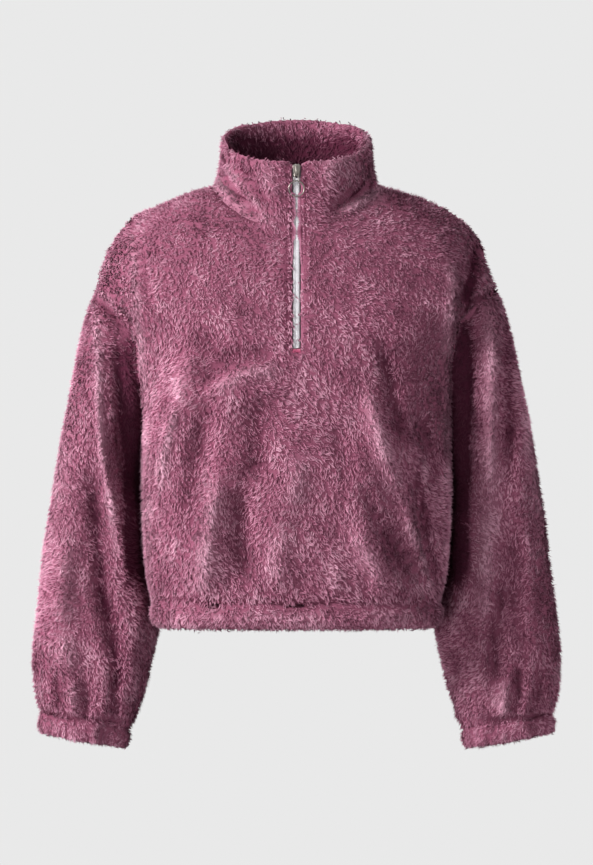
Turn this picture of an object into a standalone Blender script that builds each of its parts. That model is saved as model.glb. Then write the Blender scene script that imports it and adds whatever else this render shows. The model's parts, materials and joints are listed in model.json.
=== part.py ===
"""Cropped half-zip top in deep-pile fleece, filled out as if worn, with nobody in it.

Units are metres and +Z is up. The front faces -Y. The origin is the middle of the neck opening,
level with the points where the shoulder seams meet the collar.
Every cloth piece is a wall: an outer face at the tips of the pile and an inner face on the knit back.
"""

import math

import bmesh
import bpy
import numpy as np

# The cloth and its seams
CLOTH = 0.0045  # knit back and pile together
SEAM_SHARE = 0.00024  # each piece stops this far short of its seam
SEAM_DIP = 0.0012  # the pile is pulled in where two pieces are sewn
SEAM_PRESS = 0.0014  # and the wall is thinner from the inside too

# How finely the pieces are made
SIDE_ROWS = 8  # hem to underarm
ARMHOLE_ROWS = 14  # underarm to shoulder tip
SHOULDER_ROWS = 6  # shoulder tip to neck
COLUMNS = {"front": 30, "back": 24}
SLEEVE_ROWS = 17
COLLAR_ROWS = 4
COLLAR_TURN = 3  # steps round the collar's top fold
WIRE_SIDES = 6

# The zip, which holds the cloth beside it flat
ZIP_GAP = 0.0048  # half of the slit between the fleece edges
ZIP_FLAT = 0.0150  # half of the flat strip down the centre front
ZIP_END_PLACE = 1.5  # where the slit ends, as a place on the panel's edge
FOLDS_MEET = -0.2045  # below this height the folds may cross the centre front

# The body's side seam, from hem to underarm: height, half width
SIDE_SEAM = (
    (-0.465, 0.1635),
    (-0.452, 0.1690),
    (-0.420, 0.1722),
    (-0.340, 0.1728),
    (-0.290, 0.1720),
    (-0.252, 0.1722),
)

# The shoulder seam, from its tip to the neck: share of the way, half width, height
SHOULDER_SEAM = (
    (0.00, 0.2260, -0.115),
    (0.15, 0.2220, -0.096),
    (0.32, 0.2125, -0.072),
    (0.50, 0.1990, -0.049),
    (0.66, 0.1790, -0.030),
    (0.82, 0.1430, -0.013),
    (1.00, 0.0940, 0.002),
)

# The armhole seam, from the shoulder tip to the underarm: share of the way, half width, height
ARMHOLE = {
    "front": (
        (0.00, 0.2260, -0.115),
        (0.15, 0.2040, -0.130),
        (0.35, 0.1800, -0.153),
        (0.55, 0.1710, -0.185),
        (0.80, 0.1712, -0.223),
        (1.00, 0.1722, -0.252),
    ),
    "back": (
        (0.00, 0.2260, -0.115),
        (0.15, 0.2140, -0.131),
        (0.35, 0.1990, -0.156),
        (0.55, 0.1870, -0.185),
        (0.80, 0.1785, -0.223),
        (1.00, 0.1722, -0.252),
    ),
}
ARMHOLE_DEPTH = {"front": 0.058, "back": 0.057}
ARMHOLE_ROUND = 0.7
ARMHOLE_TUCK = {"front": 0.30, "back": 0.22}  # how far the seam sinks in towards the underarm

# Down the middle of each panel: place on its edge (0 hem, 1 underarm, 2 shoulder tip, 3 neck),
# height, depth from the shoulder line, squareness of the row, and how sharply it turns at its edge
MIDDLE = {
    "front": (
        (0.00, -0.465, 0.1030, 2.4, 0.42),
        (0.12, -0.443, 0.1120, 2.4, 0.42),
        (0.50, -0.365, 0.1170, 2.5, 0.40),
        (1.00, -0.264, 0.1210, 2.8, 0.38),
        (1.25, -0.226, 0.1220, 3.2, 0.46),
        (1.50, -0.1885, 0.1200, 3.4, 0.62),
        (1.75, -0.158, 0.1165, 3.1, 0.68),
        (2.00, -0.131, 0.1115, 2.6, 0.58),
        (2.35, -0.098, 0.1020, 2.4, 0.50),
        (2.70, -0.068, 0.0910, 2.2, 0.46),
        (3.00, -0.047, 0.0820, 2.0, 0.50),
    ),
    "back": (
        (0.00, -0.465, 0.0960, 2.4, 0.42),
        (0.12, -0.443, 0.1040, 2.4, 0.42),
        (0.50, -0.360, 0.1060, 2.5, 0.40),
        (1.00, -0.252, 0.1110, 2.8, 0.38),
        (1.25, -0.206, 0.1130, 3.0, 0.48),
        (1.50, -0.162, 0.1125, 3.0, 0.60),
        (1.75, -0.120, 0.1080, 2.8, 0.64),
        (2.00, -0.082, 0.1020, 2.6, 0.58),
        (2.35, -0.040, 0.0900, 2.4, 0.50),
        (2.70, -0.004, 0.0760, 2.2, 0.46),
        (3.00, 0.020, 0.0660, 2.0, 0.50),
    ),
}
ROW_LIFT = 2.3  # how late a row rises from the middle to its edge
PANEL_EASE = 5  # passes that even out the change from one row's shape to the next

# The largest folds of the body: top x and z, bottom x and z, sideways bow, half width, height.
# A trough has a negative height.
BODY_FOLDS = {
    "front": (
        (-0.184, -0.078, -0.182, -0.125, 0.000, 0.0120, -0.0050),
        (-0.160, -0.070, -0.160, -0.200, 0.000, 0.0120, 0.0040),
        (0.190, -0.070, 0.187, -0.125, 0.000, 0.0120, -0.0070),
        (0.164, -0.070, 0.162, -0.200, 0.000, 0.0120, 0.0040),
        (-0.110, -0.205, -0.146, -0.345, 0.006, 0.0125, 0.0065),
        (-0.090, -0.235, -0.120, -0.345, 0.004, 0.0125, -0.0045),
        (-0.078, -0.310, -0.100, -0.450, 0.004, 0.0140, 0.0075),
        (-0.052, -0.330, -0.066, -0.445, 0.000, 0.0140, -0.0055),
        (-0.010, -0.222, -0.100, -0.250, 0.006, 0.0130, 0.0050),
        (-0.030, -0.262, -0.080, -0.285, 0.004, 0.0140, -0.0045),
        (-0.004, -0.300, -0.028, -0.440, 0.004, 0.0150, 0.0040),
        (0.086, -0.235, 0.140, -0.405, 0.010, 0.0125, 0.0060),
        (0.100, -0.290, 0.152, -0.445, 0.012, 0.0120, -0.0075),
        (0.062, -0.290, 0.112, -0.445, 0.010, 0.0130, 0.0055),
        (0.136, -0.250, 0.156, -0.330, 0.004, 0.0100, -0.0050),
        (0.040, -0.365, 0.076, -0.445, 0.004, 0.0130, -0.0040),
    ),
    "back": (
        (-0.184, -0.075, -0.180, -0.150, 0.000, 0.0140, -0.0060),
        (0.184, -0.075, 0.180, -0.150, 0.000, 0.0140, -0.0060),
        (-0.118, -0.180, -0.140, -0.380, 0.008, 0.0150, 0.0060),
        (-0.086, -0.220, -0.104, -0.430, 0.006, 0.0150, -0.0055),
        (0.120, -0.190, 0.134, -0.400, 0.008, 0.0150, 0.0065),
        (0.088, -0.230, 0.100, -0.440, 0.004, 0.0150, -0.0050),
        (-0.030, -0.300, -0.044, -0.445, 0.004, 0.0160, 0.0055),
        (0.028, -0.320, 0.040, -0.445, 0.004, 0.0160, 0.0050),
        (0.000, -0.150, -0.004, -0.300, 0.002, 0.0180, -0.0040),
    ),
}

# Sleeve sections from shoulder to cuff: outer x, y and z, inner x, y and z, half depth, squareness
SLEEVE_SECTIONS = (
    (0.2260, 0.000, -0.115, 0.1722, 0.000, -0.252, 0.058, 2.0),
    (0.2370, 0.000, -0.146, 0.1752, 0.006, -0.262, 0.060, 2.0),
    (0.2460, 0.002, -0.188, 0.1768, 0.014, -0.276, 0.061, 2.0),
    (0.2550, 0.005, -0.236, 0.1757, 0.024, -0.297, 0.060, 2.1),
    (0.2640, 0.010, -0.284, 0.1735, 0.033, -0.324, 0.058, 2.1),
    (0.2725, 0.016, -0.334, 0.1713, 0.040, -0.359, 0.056, 2.1),
    (0.2805, 0.023, -0.384, 0.1695, 0.044, -0.399, 0.054, 2.1),
    (0.2885, 0.030, -0.434, 0.1665, 0.046, -0.441, 0.053, 2.2),
    (0.2955, 0.037, -0.484, 0.1600, 0.046, -0.484, 0.052, 2.2),
    (0.2990, 0.039, -0.530, 0.1625, 0.044, -0.527, 0.052, 2.2),
    (0.2980, 0.038, -0.560, 0.1685, 0.042, -0.561, 0.050, 2.2),
    (0.2945, 0.037, -0.580, 0.1785, 0.038, -0.584, 0.045, 2.1),
    (0.2905, 0.036, -0.592, 0.1880, 0.036, -0.601, 0.037, 2.0),
)
SEAM_FADE = 0.18  # share of the sleeve over which the armhole's shape turns into a plain section

# Sleeve folds: angle from the outer edge round the front, in degrees, at the top and the bottom,
# share of the sleeve's length where it starts and ends, half width in degrees, height
SLEEVE_FOLDS = {
    "left": (
        (100, 128, 0.10, 0.86, 16, 0.0060),
        (66, 96, 0.42, 0.92, 16, -0.0065),
        (48, 62, 0.50, 0.95, 17, 0.0040),
        (140, 152, 0.22, 0.80, 15, -0.0050),
        (230, 250, 0.15, 0.75, 19, 0.0055),
        (270, 285, 0.30, 0.90, 19, -0.0055),
        (310, 300, 0.45, 0.92, 17, 0.0040),
    ),
    "right": (
        (112, 124, 0.10, 0.70, 15, 0.0060),
        (80, 92, 0.20, 0.72, 15, -0.0055),
        (56, 64, 0.12, 0.60, 17, 0.0040),
        (142, 150, 0.30, 0.88, 15, -0.0045),
        (232, 244, 0.18, 0.78, 19, 0.0055),
        (268, 280, 0.28, 0.88, 19, -0.0055),
        (312, 302, 0.40, 0.90, 17, 0.0045),
    ),
}

# Gathers above each cuff: angle in degrees, half width in degrees, height, share of the sleeve's
# length over which it dies away
CUFF_GATHERS = {
    "left": (
        (38, 10, -0.0035, 0.12),
        (62, 10, 0.0030, 0.16),
        (80, 10, -0.0035, 0.11),
        (98, 10, 0.0030, 0.14),
        (126, 11, -0.0055, 0.20),
        (160, 11, 0.0030, 0.12),
        (205, 12, -0.0040, 0.15),
        (240, 11, 0.0035, 0.13),
        (268, 11, -0.0040, 0.16),
        (300, 11, 0.0030, 0.12),
        (330, 12, -0.0035, 0.14),
    ),
    "right": (
        (30, 10, -0.0030, 0.12),
        (52, 10, -0.0050, 0.19),
        (74, 10, 0.0035, 0.15),
        (98, 10, -0.0030, 0.12),
        (124, 11, 0.0030, 0.16),
        (148, 11, -0.0045, 0.17),
        (186, 12, 0.0030, 0.12),
        (216, 11, -0.0040, 0.15),
        (252, 11, 0.0035, 0.13),
        (284, 11, -0.0040, 0.16),
        (322, 12, 0.0030, 0.12),
    ),
}

# A casing with elastic in it, from its seam round to its inside: outward, downward
HEM_CASING = (
    (-0.0020, 0.0002),
    (0.0015, 0.0050),
    (0.0025, 0.0120),
    (0.0010, 0.0200),
    (-0.0040, 0.0265),
    (-0.0090, 0.0285),
    (-0.0125, 0.0235),
    (-0.0125, 0.0120),
    (-0.0115, 0.0002),
)
CUFF_CASING = (
    (-0.0015, 0.0002),
    (0.0012, 0.0050),
    (0.0018, 0.0120),
    (-0.0004, 0.0200),
    (-0.0052, 0.0242),
    (-0.0094, 0.0195),
    (-0.0098, 0.0100),
    (-0.0092, 0.0002),
)

# The collar, a strip folded double at its top edge
COLLAR_HALF_WIDTH = 0.0855
COLLAR_FRONT = 0.0810  # depth of the top edge, front and back
COLLAR_BACK = 0.0690
COLLAR_SIDE_TOP = 0.0575  # height of the top edge above the shoulders
COLLAR_TILT = 0.37  # how far the top edge drops for each metre to the front
COLLAR_SLOT = 0.0014  # between the two layers, where the zip's tape goes in
COLLAR_BOW = -0.0030  # the outer face is this far hollow halfway up at the sides
COLLAR_NOTCH = 0.0055  # the top edge dips to the zip
# The collar's creases: share round from the zip (left is negative) and share up, at both ends,
# half width as a share of the height, height
COLLAR_CREASES = (
    (-0.05, 0.16, -0.50, 0.60, 0.12, -0.0042),
    (-0.04, 0.52, -0.42, 0.84, 0.17, 0.0022),
    (0.10, 0.22, 0.50, 0.34, 0.15, -0.0032),
    (0.06, 0.60, 0.44, 0.74, 0.17, 0.0024),
    (0.70, 0.45, 0.95, 0.55, 0.18, -0.0028),
    (-0.72, 0.50, -0.96, 0.40, 0.18, -0.0026),
)

# The zip's own sizes; depths are measured in from the tips of the pile
TAPE_INNER = 0.0007
TAPE_OUTER = 0.0130
TAPE_DEPTHS = (0.00485, 0.00545)
TAPE_SHORT = 0.002  # it ends this far below the collar's fold
CHAIN_HALF = 0.0037
CHAIN_DEPTHS = (0.0016, 0.0044)
CHAIN_TOP = 0.0066
STOP_HALF = 0.0044
STOP_DEPTHS = (0.0009, 0.0042)
STOP_HEIGHTS = (-0.1875, -0.1838)
SLIDER_HEIGHTS = (0.0071, 0.0202)
SLIDER_WAIST = 0.0033  # half width at its foot, where the chain runs in
SLIDER_SHOULDER = 0.0043  # half width at its top
SLIDER_DEPTHS = (0.0002, 0.0042)
BRIDGE_HALF = 0.0011
BRIDGE_HEIGHTS = (0.0084, 0.0186)
BRIDGE_STRAP = 0.0009
BRIDGE_OPEN = 0.0024  # clear height under the bridge
BRIDGE_ROOT = 0.0012  # how far its ends are sunk in the slider
HINGE_OUT = 0.0014  # the hinge line is this far in front of the tips of the pile
HINGE_HEIGHT = 0.0104
LOOP_HALF = 0.0022
LOOP_WIRE = 0.0006
LOOP_CORNER = 0.0009
RING_RADIUS = 0.0085
RING_WIRE = 0.0008
RING_STEPS = 24
RING_HEIGHT = -0.0068

FLEECE = (0.235, 0.082, 0.130, 1.0)
SILVER = (0.74, 0.75, 0.74, 1.0)
TAPE_GREY = (0.62, 0.60, 0.63, 1.0)
ROSE = (0.50, 0.11, 0.20, 1.0)


def smooth_step(value):
    """0 up to 0, 1 from 1 on, and a soft S between."""
    t = np.clip(value, 0.0, 1.0)
    return t * t * (3 - 2 * t)


def through(knots, values, at):
    """A smooth curve through the knots that never overshoots them."""
    knots, values, at = (np.asarray(x, float) for x in (knots, values, at))
    step = np.diff(knots)
    slope = np.diff(values) / step
    tangent = np.zeros_like(values)
    tangent[0], tangent[-1] = slope[0], slope[-1]
    before, after = slope[:-1], slope[1:]
    same = before * after > 0
    heavy, light = 2 * step[1:] + step[:-1], step[1:] + 2 * step[:-1]
    before, after = np.where(same, before, 1.0), np.where(same, after, 1.0)
    tangent[1:-1] = np.where(same, (heavy + light) / (heavy / before + light / after), 0.0)
    i = np.clip(np.searchsorted(knots, at, side="right") - 1, 0, len(step) - 1)
    t = (at - knots[i]) / step[i]
    start = values[i] * (1 + 2 * t) + tangent[i] * step[i] * t
    end = values[i + 1] * (3 - 2 * t) + tangent[i + 1] * step[i] * (t - 1)
    return start * (1 - t) ** 2 + end * t * t


def column(table, number):
    return [row[number] for row in table]


def unit(vectors):
    return vectors / np.maximum(np.linalg.norm(vectors, axis=-1, keepdims=True), 1e-9)


def armhole(share, face):
    """Points of the right armhole seam, share 0 at the shoulder tip and 1 at the underarm."""
    share = np.asarray(share, float)
    along = 0.5 - 0.5 * np.cos(math.pi * share)
    rise = np.sin(math.pi * share).clip(0, 1) ** ARMHOLE_ROUND
    tuck = 1 - ARMHOLE_TUCK[face] * smooth_step((share - 0.4) / 0.6)
    knots = column(ARMHOLE[face], 0)
    x = through(knots, column(ARMHOLE[face], 1), along)
    y = ARMHOLE_DEPTH[face] * rise * tuck * (-1 if face == "front" else 1)
    z = through(knots, column(ARMHOLE[face], 2), along)
    return np.stack([x, y, z], axis=-1)


def panel_edge(place, face):
    """The panel's right-hand edge at one place: 0 hem, 1 underarm, 2 shoulder tip, 3 neck."""
    if place <= 1:
        height = SIDE_SEAM[0][0] + place * (SIDE_SEAM[-1][0] - SIDE_SEAM[0][0])
        half = through(column(SIDE_SEAM, 0), column(SIDE_SEAM, 1), height)
        return np.array((half, 0.0, height))
    if place < 2:
        return armhole(2 - place, face)
    share = column(SHOULDER_SEAM, 0)
    half = through(share, column(SHOULDER_SEAM, 1), place - 2)
    height = through(share, column(SHOULDER_SEAM, 2), place - 2)
    return np.array((half, 0.0, height))


def panel_row(place, face, across):
    """One row of a panel with no folds. across runs from -1 at its left edge to 1 at its right."""
    knots = column(MIDDLE[face], 0)
    height, depth, square, turn = (
        through(knots, column(MIDDLE[face], k), place) for k in (1, 2, 3, 4)
    )
    edge = panel_edge(place, face)
    x = edge[0] * across
    away = np.clip((np.abs(x) - ZIP_FLAT) / (edge[0] - ZIP_FLAT), 0, 1)
    cut = (1 - (abs(edge[1]) / depth) ** (1 / turn)) ** (1 / square)
    out = depth * np.maximum(1 - (away * cut) ** square, 0) ** turn
    z = height + (edge[2] - height) * away**ROW_LIFT
    return np.stack([x, -out if face == "front" else out, z], axis=-1)


def fold_height(x, z, folds):
    """How far the folds lift the cloth at x, z."""
    lift = np.zeros_like(x)
    for top_x, top_z, low_x, low_z, bow, width, height in folds:
        run_x, run_z = low_x - top_x, low_z - top_z
        length = math.hypot(run_x, run_z)
        along = ((x - top_x) * run_x + (z - top_z) * run_z) / length**2
        across = ((x - top_x) * run_z - (z - top_z) * run_x) / length
        across = across - bow * np.sin(math.pi * np.clip(along, 0, 1))
        ends = smooth_step((along + 0.12) / 0.3) * smooth_step((1.12 - along) / 0.3)
        lift = lift + height * ends * np.exp(-((across / width) ** 2))
    return lift


def normals_of(grid, closed=False):
    """Unit normals of a grid of points; closed says that its columns run round a ring."""
    if closed:
        padded = np.concatenate([grid[:, -1:], grid, grid[:, :1]], axis=1)
        across = padded[:, 2:] - padded[:, :-2]
    else:
        across = np.gradient(grid, axis=1)
    return unit(np.cross(across, np.gradient(grid, axis=0)))


def relaxed(grid, passes):
    """The grid eased along its columns, with all four of its edges held."""
    grid = grid.copy()
    for _ in range(passes):
        middle = (grid[2:, 1:-1] + grid[:-2, 1:-1]) / 2
        grid[1:-1, 1:-1] = (grid[1:-1, 1:-1] + middle) / 2
    return grid


def panel_places():
    side = np.linspace(0, 1, SIDE_ROWS + 1)
    hole = np.linspace(1, 2, ARMHOLE_ROWS + 1)[1:]
    top = np.linspace(2, 3, SHOULDER_ROWS + 1)[1:]
    return np.concatenate([side**1.15, hole, top])


def panel_grid(face):
    """The panel's outer face with its folds. The front has no middle column: the slit is there."""
    places = panel_places()
    spread = np.linspace(-1, 1, COLUMNS[face] + 1)
    spread = 0.5 * spread + 0.5 * np.sin(spread * math.pi / 2)
    middle = len(spread) // 2
    rows = []
    for place in places:
        across = spread.copy()
        if face == "front":
            half = panel_edge(place, face)[0]
            across = np.delete(across, middle)
            for offset, size in ((0, ZIP_GAP), (1, ZIP_FLAT)):
                across[middle - 1 - offset] = -size / half
                across[middle + offset] = size / half
        rows.append(panel_row(place, face, across))
    grid = relaxed(np.array(rows), PANEL_EASE)
    lift = fold_height(grid[..., 0], grid[..., 2], BODY_FOLDS[face])
    lift = lift * smooth_step(np.minimum(places / 0.06, (3 - places) / 0.35))[:, None]
    shares = np.abs(grid[..., 0]) / np.abs(grid[:, -1:, 0])
    lift = lift * smooth_step((1 - shares) / 0.15)
    if face == "front":
        beside = smooth_step((np.abs(grid[..., 0]) - ZIP_FLAT) / 0.02)
        under = smooth_step((FOLDS_MEET - grid[..., 2]) / 0.03)
        lift = lift * np.maximum(beside, under)
    return grid + normals_of(grid) * (1 if face == "front" else -1) * lift[..., None]


def sleeve_half(section, share, face):
    """Half of one sleeve section with no folds, share 0 at its outer edge and 1 at its inner."""
    *ends, depth, square = section
    outer, inner = np.array(ends[:3]), np.array(ends[3:])
    swing = np.cos(math.pi * share)
    along = np.sign(swing) * np.abs(swing) ** (2 / square)
    out = depth * np.sin(math.pi * share).clip(0, 1) ** (2 / square)
    line = (outer + inner) / 2 + along[:, None] * (outer - inner) / 2
    return line + out[:, None] * np.array((0, -1 if face == "front" else 1, 0))


def whole_ring(half_of):
    """Joins the front half, outer to inner edge, and the back half, inner to outer edge."""
    share = np.linspace(0, 1, ARMHOLE_ROWS + 1)
    return np.concatenate([half_of(share, "front"), half_of(share[::-1], "back")[1:-1]])


def sleeve_lift(angle, row, side):
    """How far the folds and gathers lift the sleeve, all round one row."""

    def turned(middle):
        return (angle - middle + 180) % 360 - 180

    lift = np.zeros_like(angle)
    for top, low, start, end, width, height in SLEEVE_FOLDS[side]:
        share = (row - start) / (end - start)
        ends = smooth_step((share + 0.1) / 0.25) * smooth_step((1.1 - share) / 0.25)
        middle = top + (low - top) * np.clip(share, 0, 1)
        lift = lift + height * ends * np.exp(-((turned(middle) / width) ** 2))
    for middle, width, height, reach in CUFF_GATHERS[side]:
        near = smooth_step((row - 1 + reach) / (reach * 0.75))
        lift = lift + height * near * np.exp(-((turned(middle) / width) ** 2))
    return lift * smooth_step(row / 0.10)


def sleeve_grid(side):
    """The sleeve's outer face, made on the right and mirrored for the left."""
    knots = np.linspace(0, 1, len(SLEEVE_SECTIONS))
    seam = whole_ring(armhole)
    plain = whole_ring(lambda share, face: sleeve_half(SLEEVE_SECTIONS[0], share, face))
    angle = np.linspace(0, 360, len(seam), endpoint=False)
    grid = []
    for row in np.linspace(0, 1, SLEEVE_ROWS + 1):
        section = [through(knots, column(SLEEVE_SECTIONS, k), row) for k in range(8)]
        ring = whole_ring(lambda share, face, sizes=section: sleeve_half(sizes, share, face))
        ring = ring + (seam - plain) * (1 - smooth_step(row / SEAM_FADE))
        lift = sleeve_lift(angle, row, side)
        grid.append(ring + unit(ring - ring.mean(axis=0)) * lift[:, None])
    return np.array(grid) * ((1, 1, 1) if side == "right" else (-1, 1, 1))


def collar_grid(neck):
    """The collar's outer face: the neck seam's points, taken up to the top fold."""
    radius = CLOTH + COLLAR_SLOT / 2
    aside = np.abs(neck[:, 0])
    in_front = np.arange(len(neck)) < COLUMNS["front"] // 2
    in_front = in_front | in_front[::-1]
    flat = ZIP_FLAT * in_front
    away = np.clip((aside - flat) / (aside.max() - flat), 0, 1)
    at_zip = np.clip((ZIP_FLAT - aside) / (ZIP_FLAT - ZIP_GAP), 0, 1) * in_front
    x = np.where(aside > flat, flat + (COLLAR_HALF_WIDTH - flat) * away, aside)
    y = np.where(in_front, -COLLAR_FRONT, COLLAR_BACK) * np.sqrt(1 - away**2)
    z = COLLAR_SIDE_TOP - radius + COLLAR_TILT * y - COLLAR_NOTCH * at_zip
    top = np.stack([x * np.sign(neck[:, 0]), y, z], axis=-1)
    outward = unit(np.stack([top[:, 0], y, 0 * y], axis=-1))
    around = np.linspace(0, 2, len(neck))
    around = np.where(around <= 1, around, around - 2)
    hold = smooth_step((aside - flat) / 0.03 + ~in_front)
    grid = []
    for up in np.linspace(0, 1, COLLAR_ROWS + 1):
        lift = COLLAR_BOW * math.sin(math.pi * up**0.8) * away**2
        for start, low, end, high, width, height in COLLAR_CREASES:
            share = (around - start) / (end - start)
            ends = smooth_step((share + 0.15) / 0.3) * smooth_step((1.15 - share) / 0.3)
            middle = low + (high - low) * np.clip(share, 0, 1)
            lift = lift + height * ends * np.exp(-(((up - middle) / width) ** 2))
        lift = lift * smooth_step(up / 0.12) * hold
        grid.append(neck + (top - neck) * up + outward * lift[:, None])
    return np.array(grid)


def add_object(name, work, colour, shiny=0.0, rough=0.95):
    """Turns a bmesh into a named object with its own material."""
    mesh = bpy.data.meshes.new(name)
    bmesh.ops.recalc_face_normals(work, faces=work.faces)
    work.to_mesh(mesh)
    work.free()
    material = bpy.data.materials.new(name)
    material.use_nodes = True
    shader = material.node_tree.nodes["Principled BSDF"]
    shader.inputs["Base Color"].default_value = colour
    shader.inputs["Metallic"].default_value = shiny
    shader.inputs["Roughness"].default_value = rough
    mesh.materials.append(material)
    mesh.shade_smooth()
    mesh.set_sharp_from_angle(angle=math.radians(50))
    item = bpy.data.objects.new(name, mesh)
    GARMENT.objects.link(item)
    return item


def solid(points, faces):
    """A bmesh from points and faces, without points that no face uses."""
    work = bmesh.new()
    made = [work.verts.new(p) for p in points]
    for face in faces:
        work.faces.new([made[k] for k in face])
    bmesh.ops.delete(work, geom=[v for v in work.verts if not v.link_faces], context="VERTS")
    return work


def grid_cells(rows, columns, closed=False, missing=()):
    """The faces of a grid of points, each as four point numbers."""
    cells = []
    for r in range(rows - 1):
        for c in range(columns if closed else columns - 1):
            if (r, c) not in missing:
                here, right = r * columns + c, r * columns + (c + 1) % columns
                cells.append((here, right, right + columns, here + columns))
    return cells


def wall(outer, inner, closed=False, missing=()):
    """A wall between two grids of points, with a rim along every open edge."""
    rows, columns = outer.shape[:2]
    cells = grid_cells(rows, columns, closed, missing)
    count = rows * columns
    edges = {pair for cell in cells for pair in zip(cell, cell[1:] + cell[:1], strict=True)}
    rims = sorted((a, b) for a, b in edges if (b, a) not in edges)
    faces = cells + [tuple(count + k for k in reversed(cell)) for cell in cells]
    faces = faces + [(b, a, count + a, count + b) for a, b in rims]
    return solid(np.concatenate([outer.reshape(-1, 3), inner.reshape(-1, 3)]), faces)


def run_of(line, closed=False):
    """The direction of a line of points at each of them."""
    if closed:
        return np.roll(line, -1, axis=0) - np.roll(line, 1, axis=0)
    return np.gradient(line, axis=0)


def cloth_faces(grid, normals, seams, closed=False):
    """The outer and inner points of a cloth wall. seams names its sewn edges, which stop short."""
    outer, inner = grid.copy(), grid - normals * CLOTH
    edges = {"low": (0, 1, 0), "high": (-1, -2, 0), "start": (0, 1, 1), "end": (-1, -2, 1)}
    pressed = np.zeros(grid.shape[:2], bool)
    for name in seams:
        edge, beside, axis = edges[name]
        here = (edge, slice(None)) if axis == 0 else (slice(None), edge)
        beside = (beside, slice(None)) if axis == 0 else (slice(None), beside)
        inwards = unit(grid[beside] - grid[here])
        across = unit(np.cross(run_of(grid[here], closed), normals[here]))
        across = across * np.sign((across * inwards).sum(axis=-1, keepdims=True))
        short = unit(inwards + 2 * across) * SEAM_SHARE
        outer[here] += short
        inner[here] += short
        pressed[here] = True
    sunk = normals * pressed[..., None]
    return outer - sunk * SEAM_DIP, inner + sunk * SEAM_PRESS


def level(normals, down):
    """Normals turned so that the wall's inner edge never passes the plane of the casing below."""
    return unit(normals - np.minimum(normals @ down, 0)[:, None] * down)


def casing(ring, down, profile):
    """A closed ring with the same section all round, hung from the seam's ring of points."""
    outward = unit(np.cross(run_of(ring, closed=True), down))
    outward = outward * np.sign(((ring - ring.mean(axis=0)) * outward).sum())
    grid = np.array([ring + outward * out + down * low for out, low in profile])
    rows, columns = grid.shape[:2]
    last = (rows - 1) * columns
    top = [(last + c, last + (c + 1) % columns, (c + 1) % columns, c) for c in range(columns)]
    return solid(grid.reshape(-1, 3), grid_cells(rows, columns, closed=True) + top)


def strip(path, normals, edges, depths):
    """A flat strip that follows the zip's path, between two edges in x and two depths."""
    faces = []
    for depth in depths:
        line = path - normals * depth
        faces.append(np.stack([line + (x, 0, 0) for x in edges], axis=1))
    return wall(*faces)


def wire(path, radius, around):
    """A closed loop of round wire. around is the direction square to the loop's plane."""
    tangent = unit(np.roll(path, -1, axis=0) - np.roll(path, 1, axis=0))
    side = unit(np.cross(tangent, around))
    turn = np.arange(WIRE_SIDES) * math.tau / WIRE_SIDES
    grid = np.stack([path + radius * (side * math.cos(a) + around * math.sin(a)) for a in turn])
    count = len(path)
    faces = [
        (r * count + c, r * count + (c + 1) % count, s * count + (c + 1) % count, s * count + c)
        for r, s in zip(range(WIRE_SIDES), [*range(1, WIRE_SIDES), 0], strict=True)
        for c in range(count)
    ]
    return solid(grid.reshape(-1, 3), faces)


def united(name, first, second, colour, shiny, rough):
    """Two overlapping bmeshes made into one solid."""
    item = add_object(name, first, colour, shiny, rough)
    other = add_object(name + "_added", second, colour, shiny, rough)
    join = item.modifiers.new("join", "BOOLEAN")
    join.operation = "UNION"
    join.solver = "EXACT"
    join.object = other
    scene_now = bpy.context.evaluated_depsgraph_get()
    mesh = bpy.data.meshes.new_from_object(item.evaluated_get(scene_now))
    item.modifiers.clear()
    item.data = mesh
    bpy.data.objects.remove(other)


def profile_solid(outline, first, last, place):
    """An outline of pairs, carried from first to last. place turns a pair and an offset into a point."""
    count = len(outline)
    points = [place(a, b, offset) for offset in (first, last) for a, b in outline]
    faces = [tuple(range(count)), tuple(range(2 * count - 1, count - 1, -1))]
    faces += [(k, count + k, count + (k + 1) % count, (k + 1) % count) for k in range(count)]
    return solid(points, faces)


for thing in list(bpy.data.objects):
    bpy.data.objects.remove(thing)
GARMENT = bpy.data.collections.new("fleece_top")
bpy.context.scene.collection.children.link(GARMENT)

# The outer faces of the panels and the sleeves, and which way they face
grids = {"front": panel_grid("front"), "back": panel_grid("back")}
grids["sleeve_right"], grids["sleeve_left"] = sleeve_grid("right"), sleeve_grid("left")
facing = {
    "front": normals_of(grids["front"]),
    "back": -normals_of(grids["back"]),
    "sleeve_right": normals_of(grids["sleeve_right"], closed=True),
    "sleeve_left": -normals_of(grids["sleeve_left"], closed=True),
}

# The collar starts from the panels' neck edges, from the zip round the right side and back
half = COLUMNS["front"] // 2
neck = np.concatenate(
    [grids["front"][-1, half:], grids["back"][-1, -2:0:-1], grids["front"][-1, :half]]
)
grids["collar"] = collar_grid(neck)
facing["collar"] = normals_of(grids["collar"])

# Where pieces are sewn together, they take the same direction through the cloth
armhole_top = SIDE_ROWS + ARMHOLE_ROWS
sewn = []
for edge, side in ((0, "sleeve_left"), (-1, "sleeve_right")):
    for row in range(armhole_top + SHOULDER_ROWS):
        front_end, back_end = ("front", row, edge), ("back", row, edge)
        number = armhole_top - row
        if row in (SIDE_ROWS, armhole_top):
            sewn.append((front_end, back_end, (side, 0, number)))
        elif SIDE_ROWS < row < armhole_top:
            sewn.append((front_end, (side, 0, number)))
            sewn.append((back_end, (side, 0, -number)))
        else:
            sewn.append((front_end, back_end))
behind = len(neck) - 2 * half
for number in range(half - 1):
    sewn.append((("collar", 0, number), ("front", -1, half + number)))
    sewn.append((("collar", 0, -1 - number), ("front", -1, half - 1 - number)))
for number in range(behind):
    sewn.append((("collar", 0, half + number), ("back", -1, behind - number)))
sewn.append((("front", -1, -1), ("back", -1, -1), ("collar", 0, half - 1)))
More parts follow.
